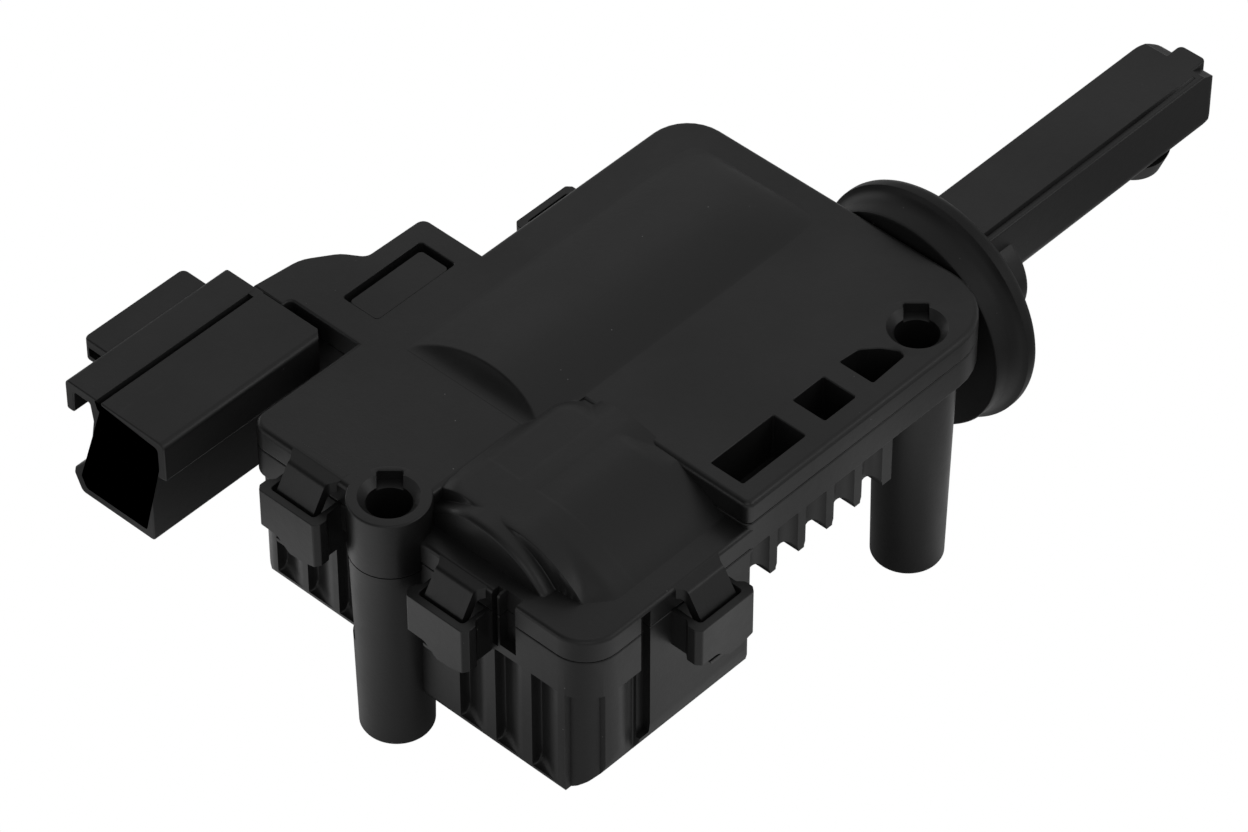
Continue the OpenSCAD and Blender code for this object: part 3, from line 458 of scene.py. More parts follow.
for node, obj in frame["nodes"].items():
    obj.data.materials.clear()
    obj.data.materials.append(finishes[slots[node]])
print("finishes:", len(finishes), "on", len(slots), "CAD nodes")

# %% [markdown]
# ## Dressing a piece
# Each visible piece stands for a node of the CAD model and moves with one of its bodies.
# They sit in one function, so that none is missed.

# %% Dressing
def dress(obj, node, body="housing", slot="housing_plastic"):
    """Gives a piece its finish and its body, and hides the CAD node that it stands for."""
    obj.data.materials.clear()
    obj.data.materials.append(finishes[slot])
    smooth(obj)
    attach(obj, body)
    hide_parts(node)
    corners = np.array(obj.bound_box)
    size = (corners.max(0) - corners.min(0)) / MM
    print(f"{obj.name}: {len(obj.data.polygons)} faces,",
          " x ".join(f"{v:.1f}" for v in size), "mm")


# %% [markdown]
# ## Camera
# The photograph was taken from above the front corner with a long lens, which keeps the
# edges nearly parallel. Turn, tilt, focal length and place come from a fit of the part's
# known corners to the picture, so that the render can be laid over it.

# %% Camera
TURN, TILT = math.radians(47.112), math.radians(44.142)
FOCAL, IMAGE_WIDTH = 5918.3, 1248  # both in pixels of the picture
SENSOR = 36  # millimetres
camera_data = bpy.data.cameras.new("camera")
camera_data.sensor_width = SENSOR
camera_data.lens = FOCAL / IMAGE_WIDTH * SENSOR
camera_data.clip_end = 20
camera = add_object("camera", camera_data)
camera.location = (-0.3458, -0.3593, 0.5349)
camera.rotation_euler = (math.pi / 2 - TILT, 0, -TURN)
bpy.context.scene.camera = camera
bpy.context.scene.view_settings.view_transform = "Standard"
print("lens", round(camera_data.lens, 1), "mm")

# %% [markdown]
# ## The white sheet
# The picture's ground is pure white, without a shadow. A lit white floor would turn grey at
# its far edge. So the sheet glows white where the camera sees it, and is matt paper for
# diffuse light. In reflections it glows with painted light, which decides how every wall
# looks: painted bright and dark patches from left to right, painted shadow under the part and
# at the rear pillar, an even grey far away.

# %% The sheet
def flat_sheet(name, corners):
    mesh = bpy.data.meshes.new(name)
    mesh.from_pydata(corners, [], [(0, 1, 2, 3)])
    return add_object(name, mesh)


FLOOR_HALF, FLOOR_Z = 6.0, -0.0004
floor = flat_sheet("floor", [
    (x * FLOOR_HALF, y * FLOOR_HALF, FLOOR_Z) for x, y in ((-1, -1), (1, -1), (1, 1), (-1, 1))])

# %% Painted light and shade that the part mirrors of the sheet
RIGHTWARDS = (0.68, -0.73, 0)  # left to right in the picture
PAINTED_POOLS_START, PAINTED_POOLS_SPAN = -0.08, 0.21
# Painted light: bright and dark bands across the sheet's glow, seen only in reflections.
PAINTED_LIGHT_POOLS = [(0.0, 0.5), (0.06, 0.14), (0.11, 0.12), (0.17, 0.86), (0.28, 0.76), (0.40, 0.32),
         (0.50, 0.42), (0.63, 0.64), (0.71, 1.0), (0.80, 0.54), (0.93, 0.17)]
# Centres and size of the painted shadows under the part and at the rear pillar's foot.
PART_MIDDLE, REAR_FOOT = (0.06, 0.0, 0.0), (0.054, -0.038, 0.0)
SHADE_X, SHADE_Y = (0.037, 0.039), (-0.0055, 0.027)  # middle and half size of the shade
FAR_GREY = 0.6

paper = Finish("white paper")
camera_ray = paper.node("ShaderNodeLightPath", output="Is Camera Ray")
seen = paper.maths("MAXIMUM", camera_ray, camera_ray.other("Is Glossy Ray"))
across = (paper.vector_maths("DOT_PRODUCT", RIGHTWARDS) - PAINTED_POOLS_START) * (1 / PAINTED_POOLS_SPAN)
painted_light_pools = paper.node("ShaderNodeValToRGB", {"stops": [(at, grey(v)) for at, v in PAINTED_LIGHT_POOLS]},
                   {"Fac": across})
# Painted shadow under the part: the glow is darker inside a soft rectangle round its footprint.
along_x = paper.node("ShaderNodeSeparateXYZ", {}, {"Vector": paper.place}, output="X")
past_x = paper.maths("ABSOLUTE", along_x - SHADE_X[0]) - SHADE_X[1]
past_y = paper.maths("ABSOLUTE", along_x.other("Y") - SHADE_Y[0]) - SHADE_Y[1]
under = paper.ramp(paper.maths("MAXIMUM", past_x, past_y), -0.006, 0.005, 0.25, 1.0)
# Painted shadow at the foot of the rear pillar: the glow is darker in a soft spot there.
painted_rear_pillar_shadow = paper.ramp(paper.vector_maths("DISTANCE", REAR_FOOT), 0.006, 0.021, 0.3, 1.0)
far_off = paper.ramp(paper.vector_maths("DISTANCE", PART_MIDDLE), 0.125, 0.19)
# The painted reflection: painted light, darkened by the painted shadows, fading to an even grey
# far away. The camera sees plain white.
near = paper.mix(under * painted_rear_pillar_shadow, grey(0.0), painted_light_pools)
painted_reflection = paper.mix(far_off, near, grey(FAR_GREY))
glow = paper.node("ShaderNodeEmission", {}, {
    "Color": paper.mix(camera_ray, painted_reflection, grey(1.0)), "Strength": 1.0})
matt = paper.node("ShaderNodeBsdfDiffuse", {}, {"Color": grey(0.8)})
both = paper.node("ShaderNodeMixShader", {}, {0: seen, 1: matt, 2: glow})
floor.data.materials.append(paper.surface(both))
print("nodes in the white sheet:", len(paper.tree.nodes))

# %% [markdown]
# ## Sky, lamps and a black card
# A dim white world gives the flat tops their even dark grey. Broad lamps draw the rounded
# edges, and weak ones lift the walls that face away. Photographers hold a black card beside
# glossy things, to darken slopes that would mirror the room. The card here paints a dark
# reflection on the slopes that face left: only reflections show it, and it casts no shadow and
# blocks no light.

# %% Sky and lamps
SKY = 0.34
world = bpy.data.worlds.new("world")
bpy.context.scene.world = world
world.use_nodes = True
background = world.node_tree.nodes["Background"]
background.inputs["Color"].default_value = (1, 1, 1, 1)
background.inputs["Strength"].default_value = SKY

LAMP_TARGET = (0.05, 0.0, 0.02)
LAMPS = [  # name, place, size in metres, watts
    ("top softbox", (0.6, -0.1, 0.9), (0.9, 0.9), 0.4),
    ("front softbox", (-0.5, -0.55, 0.75), (0.4, 0.4), 0.6),
    ("side window", (0.1, 1.0, 0.12), (0.4, 0.2), 0.5),
    ("low window", (-0.65, 0.4, 0.17), (0.4, 0.2), 0.22),
    ("near right softbox", (0.55, -0.8, 0.6), (0.7, 0.4), 1.2),
    ("far softbox", (0.9, 0.8, 1.0), (0.8, 0.5), 0.5),
]
for name, place, size, power in LAMPS:
    data = bpy.data.lights.new(name, "AREA")
    data.shape, data.size, data.size_y, data.energy = "RECTANGLE", size[0], size[1], power
    obj = add_object(name, data)
    obj.location = place
    aim = Vector(LAMP_TARGET) - Vector(place)
    obj.rotation_euler = aim.to_track_quat("-Z", "Y").to_euler()
print("lamps:", len(LAMPS))

# %% The black card
card = flat_sheet("black flag", [
    (-0.10, 0.08, 0.62), (-0.10, 0.66, 0.62), (-0.52, 0.66, 0.36), (-0.52, 0.08, 0.36)])
felt = Finish("black flag")
cloth = felt.node("ShaderNodeBsdfDiffuse", {}, {
    "Color": felt.mix(felt.noise(40), grey(0.002), grey(0.004))})
card.data.materials.append(felt.surface(cloth))
# Only reflections show the card, as a painted dark reflection.
card.visible_camera = card.visible_diffuse = card.visible_shadow = False
print("black card, corners:", len(card.data.vertices))

# %% [markdown]
# ## Soft forms on the lid
# The hump over the motor and the drum over the gear flow into the deck in smooth valleys, as
# where a mould is polished. Sculpting could draw that, but a sculpted form can't be
# measured. So each form is a function that gives a height for every point, and `soft_max`
# joins two heights with a valley of a stated width.

# %% Relief helpers
def smoothstep(low, high, v):
    t = np.clip((v - low) / (high - low), 0, 1)
    return t * t * (3 - 2 * t)


def soft_max(a, b, width):
    return np.maximum(a, b) + np.maximum(width - np.abs(a - b), 0) ** 2 / (4 * width)


def soft_min(a, b, width):
    return -soft_max(-a, -b, width)


def arch(y, centre, r):
    """The height of a round vault about a centre (y, z)."""
    return centre[1] + np.sqrt(np.maximum(r ** 2 - (y - centre[0]) ** 2, 0))


def spaced(start, *stops):
    """Grid lines from start on, as pairs of a next limit and the spacing up to it."""
    lines = [start]
    for limit, step in stops:
        count = max(1, round((limit - lines[-1]) / step))
        lines += list(np.linspace(lines[-1], limit, count + 1)[1:])
    return np.array(lines)


def relief(x, y, height, floor_z):
    """A slab on the grid lines x and y, whose top follows a height function."""
    nx, ny = len(x), len(y)
    gx, gy = np.meshgrid(x, y, indexing="ij")
    verts = [tuple(v) for v in np.stack([gx, gy, height(gx, gy)], -1).reshape(-1, 3)]
    top = [(i * ny + j, (i + 1) * ny + j, (i + 1) * ny + j + 1, i * ny + j + 1)
           for i in range(nx - 1) for j in range(ny - 1)]
    rim = ([i * ny for i in range(nx)] + [(nx - 1) * ny + j for j in range(1, ny)]
           + [i * ny + ny - 1 for i in range(nx - 2, -1, -1)] + list(range(ny - 2, 0, -1)))
    base = len(verts)
    verts += [(verts[v][0], verts[v][1], floor_z) for v in rim]
    count = len(rim)
    sides = [(rim[k], rim[(k + 1) % count], base + (k + 1) % count, base + k)
             for k in range(count)]
    return solid("relief", verts, top + sides + [tuple(base + k for k in range(count))])


# %% The heights of hump and drum
UNDER_DECK = 0.07  # how far a relief stays under the deck where it is flat
NOTHING = -14.0  # a height far under every deck
COVE_X, COVE_BEND = 19.4, 0.15  # the hump rises from here in a parabola
FALL_X, FALL_LENGTH = 60.5, 11.0  # and falls off from here in an ellipse
DRUM_R = 14.35


def heights_of_hump(x, y):
    """The motor hump: a flat arch with a cove at one end, and a round fall at the other."""
    fall = np.sqrt(np.clip(1 - (np.clip(x - FALL_X, 0, None) / FALL_LENGTH) ** 2, 0, 1))
    top = (arch(y, (MOTOR_Y, -28.06), 29.96) + 0.3) * fall - 0.3
    rise = x - COVE_X
    cove = np.where(x > COVE_X, COVE_BEND * rise ** 2, rise * 2)
    return soft_max(soft_min(top, cove - UNDER_DECK, 0.12), 0.0 * x - UNDER_DECK, 0.3)


def heights_of_drum(x, y):
    """The drum over the gear: a low shoulder first, then a wider arch that fades out."""
    plateau = soft_min(0 * y + 0.75, -3.75 - 0.5 * y, 0.8)
    shoulder = np.where(y < -12.0, arch(y, (-12.0, -12.25), 13.0), plateau)
    wide = arch(np.minimum(y, PIN_Y), PIN_AT, DRUM_R - 0.04 * smoothstep(11.8, 12.4, x))
    middle, half, corner = (15.6, -31.5), np.array([12.0, 28.5]), 4.0
    past = np.abs(np.stack([x - middle[0], y - middle[1]])) - half[:, None, None] + corner
    outside = np.hypot(*np.maximum(past, 0)) + np.minimum(past.max(0), 0) - corner
    fade = smoothstep(-2.4, 1.0, outside) * (y > -22)
    wide = wide + (np.minimum(wide, -0.4) - wide) * fade
    body = shoulder + (np.maximum(wide, shoulder) - shoulder) * smoothstep(5.1, 5.5, x)
    round_end = 0.9 * (1 - np.sqrt(1 - np.clip((4.0 - x) / 1.0, 0, 0.98) ** 2))
    body = NOTHING + (body - round_end - NOTHING) * smoothstep(2.95, 3.1, x)
    softness = 0.5 + 5.0 * smoothstep(5.2, 9.5, x)
    return soft_max(body, 0.0 * x + LOW_DECK - 0.06, softness)


spot = np.array([[40.0]]), np.array([[MOTOR_Y]])
print("crown of the hump over the lid:", round(float(heights_of_hump(*spot)[0, 0]), 2), "mm")

# %% [markdown]
# ## The shapes that lid and base share
# The same outlines and hollows run through both halves of the housing. They could be typed
# in twice. Each is written once and used for the lid and the base alike, so that they match.

# %% Outlines of the housing
UPPER = rounded(
    (-2.5, -3.6, 1.1), (STEP_X, -3.6), (STEP_X, -32.5, 1.1), (NOSE_X, -32.5, 9), (NOSE_X, 21.5, 6),
    (-2.5, 21.5, 2.6))
LOWER = rounded((-0.2, -3), (-0.2, -32.5, 5), (STEP_X + 1, -32.5), (STEP_X + 1, -3))
ARM = rounded(
    (16.2, 20), (38, 20), (38, 31.4, 1.2), (28.2, 31.6, 1.5), (26.4, 34.4, 4), (22.2, 37.3, 5),
    (14.7, 38.1, 0.3), (14.7, 32.9, 0.3), (16.2, 32.9, 0.7))
POCKETS = [
    rectangle(30.2, 41.4, -29.4, -24.2, 0.25), rectangle(44.9, 50.5, -29.4, -24.2, 0.25),
    rounded((53.8, -29.3, 0.3), (59.9, -29.0, 0.3), (60.2, -28.0, 0.8), (59.0, -26.0, 2),
            (57.0, -24.2, 1.5), (53.8, -23.9, 0.3))]
print("outlines:", len(UPPER), len(LOWER), len(ARM), "points, pockets:", len(POCKETS))

# %% Shared hollows and holes
LID_IN = -1.8  # inside of the lid's top wall
LOW_IN = LOW_DECK - 1.6  # inside of the lower deck
GEAR_ROOM_R, PIN_WAY_R = 12.85, 8.5
FINGER_WAY = (-20.9, -9.9)  # the room of the pin's finger from side to side
SCREW_PROFILE = [(-60, 0), (-60, 2.87), (-1.05, 2.87), (0, 3.85), (2, 3.9), (2, 0)]

# The cross walls that carry the screw's two bushes and the motor's two rings, in x and y
REAR_BUSH_WALL = ((2.4, 4.9), (-21.4, -9.4))
FRONT_BUSH_WALL = ((13.2, 16.2), (-21.8, -9.0))
FRONT_RING_WALL = ((20.8, 24.2), (-0.9, 11.9))
REAR_RING_WALL = ((62.3, 64.6), (-0.9, 11.9))


def rooms():
    """The hollows of gears, motor, pin and arm."""
    return [
        tray((2.2, STEP_X), (-30.1, -2), (-29.6, LOW_IN), 0, low=(5.4, 0)),
        rod(PIN_AT, 5.9, STEP_X, GEAR_ROOM_R),
        block((-0.1, STEP_X), (-1.4, 19.1), (-22.8, LID_IN)),
        block((4.6, STEP_X), (-15.4, 6), (-22.8, LOW_IN)),
        block((24.3, 74), (-5.8, 19.1), (-19, LID_IN)),
        block((29.3, 72.6), (-23.4, -7.4), (-4.4, LID_IN)),
        block((19.4, 36.2), (17.5, 30), (-14.4, LID_IN)),
        prism(rectangle(-5, 16, -3.4, -1.0), 24.6, 69, axis="x"),
    ]


def pin_way(x, steps=64):
    """The room that the pin and its finger slide in, between two limits along X."""
    return [rod(PIN_AT, *x, PIN_WAY_R, steps=steps), block(x, FINGER_WAY, (PIN_Z, SEAM))]


def seats():
    """The round seats of the screw's two bushes and of the motor's two rings."""
    return [rod(PIN_AT, 2, 5.2, 4.03), rod(PIN_AT, 13, 17, 5.03),
            rod(MOTOR_AT, 20, 25, 5.63), rod(MOTOR_AT, 62, 65, 5.63)]


def screw_bore(at):
    """The bore with its countersink, and the notch on its far side."""
    back = np.array((math.sin(TURN), math.cos(TURN)))
    side = np.array((back[1], -back[0]))
    corners = [(*(np.array(at) + back * a + side * b), r)
               for a, b, r in ((1.5, -1.6, 0), (1.5, 1.6, 0), (4.3, 1.6, 0.3), (4.3, -1.6, 0.3))]
    return [turned(SCREW_PROFILE, at, "z"), prism(rounded(*corners), -1.5, 0, top=-0.15)]


def end_slots():
    """Two upright slots beside the end strap, with a thin rib between them."""
    return [block((-3, 1.0), (-17.85, -17.0), (-13.0, LOW_DECK + 1)),
            block((-3, 1.2), (-20.8, -18.2), (-12.5, LOW_DECK + 1))]


print("cover wall over the motor:", -LID_IN, "mm")

# %% [markdown]
# ## The lid
# The lid is one thin moulding in two levels. Its rims are prisms with rounded top edges, the
# hump and the drum are reliefs, and the rooms, pockets and bores are cut out at the end. The
# two levels stay separate outlines, so that the step between them stays sharp.

# %% The lid
POCKET_FLOOR = -7.0


def build_lid():
    upper = prism(UPPER, SEAM, -0.02, top=0.8, bottom=0.22, steps=5)
    lower = prism(LOWER, LOW_SEAM, LOW_DECK, top=0.6, bottom=0.22, steps=5)
    x = spaced(18.6, (24, 0.12), (58, 0.8), (73.5, 0.3))
    hump = relief(x, spaced(-5.4, (16.4, 0.25)), heights_of_hump, -1.2)
    x = spaced(2.5, (2.9, 0.2), (3.3, 0.05), (4.9, 0.2), (5.7, 0.08), (11.7, 0.4), (12.5, 0.1),
               (26.4, 0.5), (28.9, 0.15))
    drum = relief(x, spaced(-31.2, (-2.1, 0.2)), heights_of_drum, -6.0)
    arm = prism(ARM, SEAM, -0.01, top=0.35, bottom=0.15, steps=3)
    bosses = [rod(FRONT, -8.9, 0, 5.25, 0.25, "z"), rod(REAR, SEAM, 0.0, 5.25, 0.25, "z")]
    walls = [block(*REAR_BUSH_WALL, (PIN_Z, -4.8)), block(*FRONT_BUSH_WALL, (PIN_Z, -2)),
             block(*FRONT_RING_WALL, (MOTOR_Z, -0.6)), block(*REAR_RING_WALL, (MOTOR_Z, -0.6))]
    shell = fuse("shell", [upper, lower, hump, drum, arm], rooms() + pin_way((26, 31)))
    cuts = screw_bore(FRONT) + screw_bore(REAR)
    cuts += [prism(p, POCKET_FLOOR, 0, top=-0.22, steps=3) for p in POCKETS]
    cuts += seats()
    cuts += [prism(rectangle(20.8, 34.6, 22.5, 28.5, 0.5), -2.6, 0, top=-0.15, steps=3),
             block((9.0, 10.6), (-34, -31.3), (-20, LOW_DECK - 0.6))]
    return fuse("lid", [shell] + bosses + walls, cuts + end_slots())


dress(build_lid(), "top_cover")

# %% [markdown]
# ## Copies on points
# The snap tongues, their straps and the flutes in the skirt are each one shape that repeats.
# Copying objects by hand would leave many pieces to keep in step. Here Geometry Nodes set a
# copy on each point of a small mesh, turned about Z by an angle that the point carries. The
# result becomes plain geometry at once.

# %% Copies on points
SNAPS = [((-2.5, 10.1, 0.0), 90), ((-0.2, -12.2, LOW_DECK), 90), ((18.8, -32.5, LOW_DECK), 180),
         ((54.1, 21.5, -1.9), 0)]


def copy_tree(material):
    """Copies of a shape on the points of a mesh, each turned about Z by its 'turn' value."""
    tree = bpy.data.node_groups.new("copies on points", "GeometryNodeTree")
    face = tree.interface
    face.new_socket("Points", in_out="INPUT", socket_type="NodeSocketGeometry")
    shape = face.new_socket("Shape", in_out="INPUT", socket_type="NodeSocketObject")
    face.new_socket("Result", in_out="OUTPUT", socket_type="NodeSocketGeometry")
    make, link = tree.nodes.new, tree.links.new
    entry, leave, info, copies, turn, around, real, colour = (make(kind) for kind in (
        "NodeGroupInput", "NodeGroupOutput", "GeometryNodeObjectInfo",
        "GeometryNodeInstanceOnPoints", "GeometryNodeInputNamedAttribute",
        "ShaderNodeCombineXYZ", "GeometryNodeRealizeInstances", "GeometryNodeSetMaterial"))
    turn.inputs["Name"].default_value = "turn"
    colour.inputs["Material"].default_value = material
    link(entry.outputs["Points"], copies.inputs["Points"])
    link(entry.outputs["Shape"], info.inputs["Object"])
    link(info.outputs["Geometry"], copies.inputs["Instance"])
    link(turn.outputs["Attribute"], around.inputs["Z"])
    link(around.outputs[0], copies.inputs["Rotation"])
    link(copies.outputs[0], real.inputs[0])
    link(real.outputs[0], colour.inputs["Geometry"])
    link(colour.outputs[0], leave.inputs["Result"])
    return tree, shape.identifier


COPY_TREE, SHAPE_INPUT = copy_tree(black)


def copies(name, shape, places):
    """Sets copies of a temporary shape at the origin on points with turns."""
    mesh = bpy.data.meshes.new(name)
    mesh.from_pydata([tuple(c * MM for c in p) for p, _ in places], [], [])
    turn = mesh.attributes.new("turn", "FLOAT", "POINT")
    for value, (_, degrees) in zip(turn.data, places):
        value.value = math.radians(degrees)
    holder = add_object(name + " points", mesh)
    mod = holder.modifiers.new("copies", "NODES")
    mod.node_group = COPY_TREE
    mod[SHAPE_INPUT] = shape
    out = made_plain(holder, name)
    bpy.data.objects.remove(holder)
    bpy.data.objects.remove(shape)
    return out


print("snaps:", len(SNAPS))

# %% [markdown]
# ## The snap tongues
# A tongue leaves the rim of the lid flat, bends down through a strap of the base, and ends in
# a barb that catches under it. Its root is wider than its plate, so that it bends without
# tearing. A bevelled box would miss its bend. It is drawn from the side, from above and from
# the front, and only what lies inside all three outlines is kept.

# %% Tongue
def tongue_shape():
    """One tongue that faces +Y, at the origin."""
    profile = rounded(
        (-2.6, -0.8), (-1.9, -0.005), (-0.9, -0.005, 2.0), (1.3, -0.35, 1.0), (3.4, -3.7, 1.0),
        (3.7, -5.0, 0.5), (3.7, -10.4, 0.1), (4.5, -10.5, 0.1), (4.5, -11.0, 0.2),
        (3.6, -12.1, 0.6), (2.5, -12.1, 0.2), (2.5, -5.0, 0.5), (0.6, -1.9, 0.6), (-2.6, -1.9))
    plate = prism(profile, -4.0, 4.0, axis="x")
    plan = prism(rounded(
        (-4.0, -3), (4.0, -3), (4.0, -0.3, 0.1), (3.1, 0.9, 1.2), (3.1, 6), (-3.1, 6),
        (-3.1, 0.9, 1.2), (-4.0, -0.3, 0.1)), -14, 1)
    front = prism(rounded(
        (-3.1, -12.2, 1.6), (1.9, -12.2, 2.4), (3.1, -9.0, 2), (4.0, -3), (4.0, 2), (-4.0, 2),
        (-4.0, -3), (-3.1, -4)), -3, 6, axis="y")
    hole = prism(rectangle(-2.2, -1.2, -11.6, -10.6, 0.25), 2, 6, axis="y")
    return fuse("tongue", [plate], [hole], [plan, front])


dress(copies("snap_tongues", tongue_shape(), SNAPS), "top_cover")

# %% [markdown]
# ## Flutes
# Upright flutes stiffen the two outer walls at the front corner. Each is steep on one side
# and soft on the other. An array of plain grooves would look milled. So one flute is lofted
# from its true section, with a quarter circle at its lower end, and is set three times by
# the same node tree as the snaps.

# %% Flutes and corner
FLUTE_RUN_OUT = 1.6  # height of the quarter circle at the lower end
FLUTE_BOTTOM = -30.4  # lower end of the flute beside the corner slot


def flute_shape(low, high, depth=1.4, width=4.4, side=1):
    """What a flute takes out of a wall that faces -X."""
    lip = [(0.0, 0.15), (0.55, 0.02), (0.9, -0.1)]
    curve = lip + [(1 - smoothstep(0, 1, v), -0.25 - (width - 0.25) * v)
                   for v in np.linspace(0, 1, 13)]
    rings = []
    for k in range(8):
        a = math.pi / 2 * k / 7
        share = max(0.02, math.sin(a))
        z = low + FLUTE_RUN_OUT * (1 - math.cos(a))
        rings.append([(depth * share * d, side * v, z) for d, v in curve])
    rings.append([(x, y, high) for x, y, _ in rings[-1]])
    return loft([[(-2, side * 0.3, ring[0][2])] + ring + [(-2, -side * (width + 0.2), ring[0][2])]
                 for ring in rings])


def flutes(name, start, pitch, low, top):
    """Three flutes in a row from a start point in x and y."""
    return copies(name, flute_shape(low, top),
                  [((start[0], start[1] - pitch * i, 0), 0) for i in range(3)])


def turned_flute(at, top):
    """The flute beside the corner slot, in the wall that faces -Y."""
    shape = flute_shape(FLUTE_BOTTOM, top, depth=1.26, width=4.0, side=-1)
    return copies("slot flute", shape, [((*at, 0), 90)])


def corner_recess():
    """The round corner between its two neighbours stands back a little."""
    centre, r, outer = (4.8, -27.5), 4.1, 7.0
    arc = [(centre[0] + r * math.cos(a), centre[1] + r * math.sin(a))
           for a in map(math.radians, range(196, 247, 5))]
    return prism([(-outer, -28.6), *arc, (3.0, -40), (-outer, -40)], -40, LOW_BAND, top=0.25)


def pillar(at, top):
    """A slightly tapered bush for the screw, from the foot up."""
    return turned([(-TOP, 0), (-TOP, 4.45), (-38.4, 4.65), (-38.2, 4.75), (top, 5.25), (top, 0)],
                  at, "z")


print("flutes at the gear end every 6.0 mm, at the wheel end every 5.3 mm")

# %% [markdown]
# ## The base
# The base is a deep tray. A flange band runs round it under the lid, and below it the walls
# step back. Two long pillars take the screws, and a half round trough leads to the nose
# where the pin comes out. One wall with many bends could be modelled by hand. Plain trays
# that are joined and then hollowed keep the walls even.

# %% The base
SCALLOP_R, SCALLOP_LOW = 2.075, -15.0


def scallops():
    """A row of round bites out of the shelf's skirt, upright and then out at the bottom."""
    places = [30.2 + 5.15 * i for i in range(5)]
    circle = [(SCALLOP_R * math.cos(a), SCALLOP_R * math.sin(a))
              for a in np.linspace(0, math.tau, 33)[:-1]]
    upright = [rod((x, -33.1), -30, -8.2, SCALLOP_R, 0.3, "z", 48) for x in places]
    outward = [prism([(x + u, SCALLOP_LOW + v) for u, v in circle], -34, -28.5, axis="y")
               for x in places]
    return upright + outward


def base_solids():
    gears = tray((-0.2, 29.3), (-32.5, 6), (-31.2, -9), [5, 2, 2, 2], low=(7, 4), end=1.4)
    wheel = tray((-2.5, 29.3), (-3, 20.7), (-24.4, -5), [1, 2, 2, 3], end=1.4)
    motor = tray((STEP_X, 74.8), (-7.4, 20.7), (-20.6, -5), [1, 1, 5, 1])
    upper = prism(UPPER, BAND, SEAM - SEAM_GAP, bottom=0.15, top=0.2, steps=3)
    lower = prism(LOWER, LOW_BAND, LOW_SEAM - SEAM_GAP, top=0.2, steps=3)
    arm = prism(ARM, -16, SEAM - SEAM_GAP, bottom=1.0, top=0.15, steps=3)
    trough = rod(PIN_AT, STEP_X, 75.59, 10.1)
    roof = block((STEP_X, NOSE_X), (-25.5, 5.5), (PIN_Z, SEAM))
    spigot = rod(PIN_AT, 72.6, 78.8, 10.2, 0.4, steps=96)
    bay = block((28.1, 54.5), (-32.2, -29.1), (-15.0, -7.5))
    return [gears, wheel, motor, upper, lower, arm, trough, roof, spigot, bay]


def build_base():
    walls = [block(*REAR_BUSH_WALL, (-30, PIN_Z)), block(*FRONT_BUSH_WALL, (-30, PIN_Z)),
             block(*FRONT_RING_WALL, (-19.6, MOTOR_Z)),
             block(FRONT_RING_WALL[0], (-6.4, 19.5), (-23, -14.5)),
             block(*REAR_RING_WALL, (-19.6, MOTOR_Z))]
    solids, hollows = base_solids(), rooms()
    open_top = [block((2.2, STEP_X), (-30.1, 6), (LOW_SEAM - 1, 2)),
                block((27.6, 70.6), (-21.4, -7.4), (SEAM - 1, 2))]
    shell = fuse("shell", solids, hollows + open_top + scallops())
    cuts = [turned(SCREW_PROFILE, at, "z") for at in (FRONT, REAR)]
    cuts += [rod(FRONT, -8.9, 3, 5.35, 0, "z"), rod(PIN_AT, 70.6, 90, 9.23, steps=96)]
    cuts += pin_way((21, 90), steps=96) + seats()
    cuts += [rod((-0.2, -16.073), 3.4, 22.4, 1.03),
             block((9.0, 10.6), (-34, -31.3), (-26, LOW_DECK - 0.6))]
    cuts += [prism(p, POCKET_FLOOR, SEAM + 0.1) for p in POCKETS]
    cuts += [flutes("gear end flutes", (-0.2, -11.4), 6.0, -29.8, LOW_BAND),
             flutes("wheel end flutes", (-2.5, 17.3), 5.3, -23.0, BAND), corner_recess(),
             turned_flute((9.0, -32.5), LOW_BAND)] + end_slots()
    return fuse("base", [shell, pillar(FRONT, -8.9), pillar(REAR, SEAM)] + walls, cuts)


dress(build_base(), "base_housing")

# %% [markdown]
# ## The straps
# A strap is a bar on two legs that stands off the wall of the base. The tongue goes down
# behind the bar. The bar is deeper on the side where the barb catches, so its front outline
# is drawn with that step, and the rest is an outer form with an inner one taken away.

# %% Strap
def strap_shape():
    """One strap that faces +Y, at the origin."""
    outer = prism(rounded(
        (-4.4, -1.6), (4.4, -1.6), (4.4, 2.3, 0.3), (5.1, 3.1, 0.3), (5.1, 4.3, 0.3),
        (4.5, 5.0, 0.4), (-4.5, 5.0, 0.4), (-5.1, 4.3, 0.3), (-5.1, 3.1, 0.3),
        (-4.4, 2.3, 0.3)), -12, -3.4, top=0.12)
    inner = prism(rectangle(-3.7, 3.7, -2.0, 3.9, [0, 0, 0.5, 0.5]), -13, -3.4, top=-0.12)
    front = prism(rounded(
        (5.3, -3), (5.3, -9.2, 0.4), (1.75, -9.3, 1.2), (-0.3, -11.0, 0.8), (-2.4, -10.9, 2.0),
        (-5.3, -10.2, 0.5), (-5.3, -3)), -3, 6, axis="y")
    return fuse("strap", [outer], [inner], [front])


dress(copies("snap_straps", strap_shape(), SNAPS), "base_housing")

# %% [markdown]
# ## The plug socket
# The socket takes the plug of the cable. It is one section pulled along X: a keyed upper
# half, a lower box that flares, a hollow rail and a V groove. A smaller section is cut out
# of it up to the wall that holds the blades. A box with added ribs would need many joints.
# One closed section holds every rib and groove.

# %% The plug socket
MOUTH_X, SOCKET_END = -12.5, 14.8


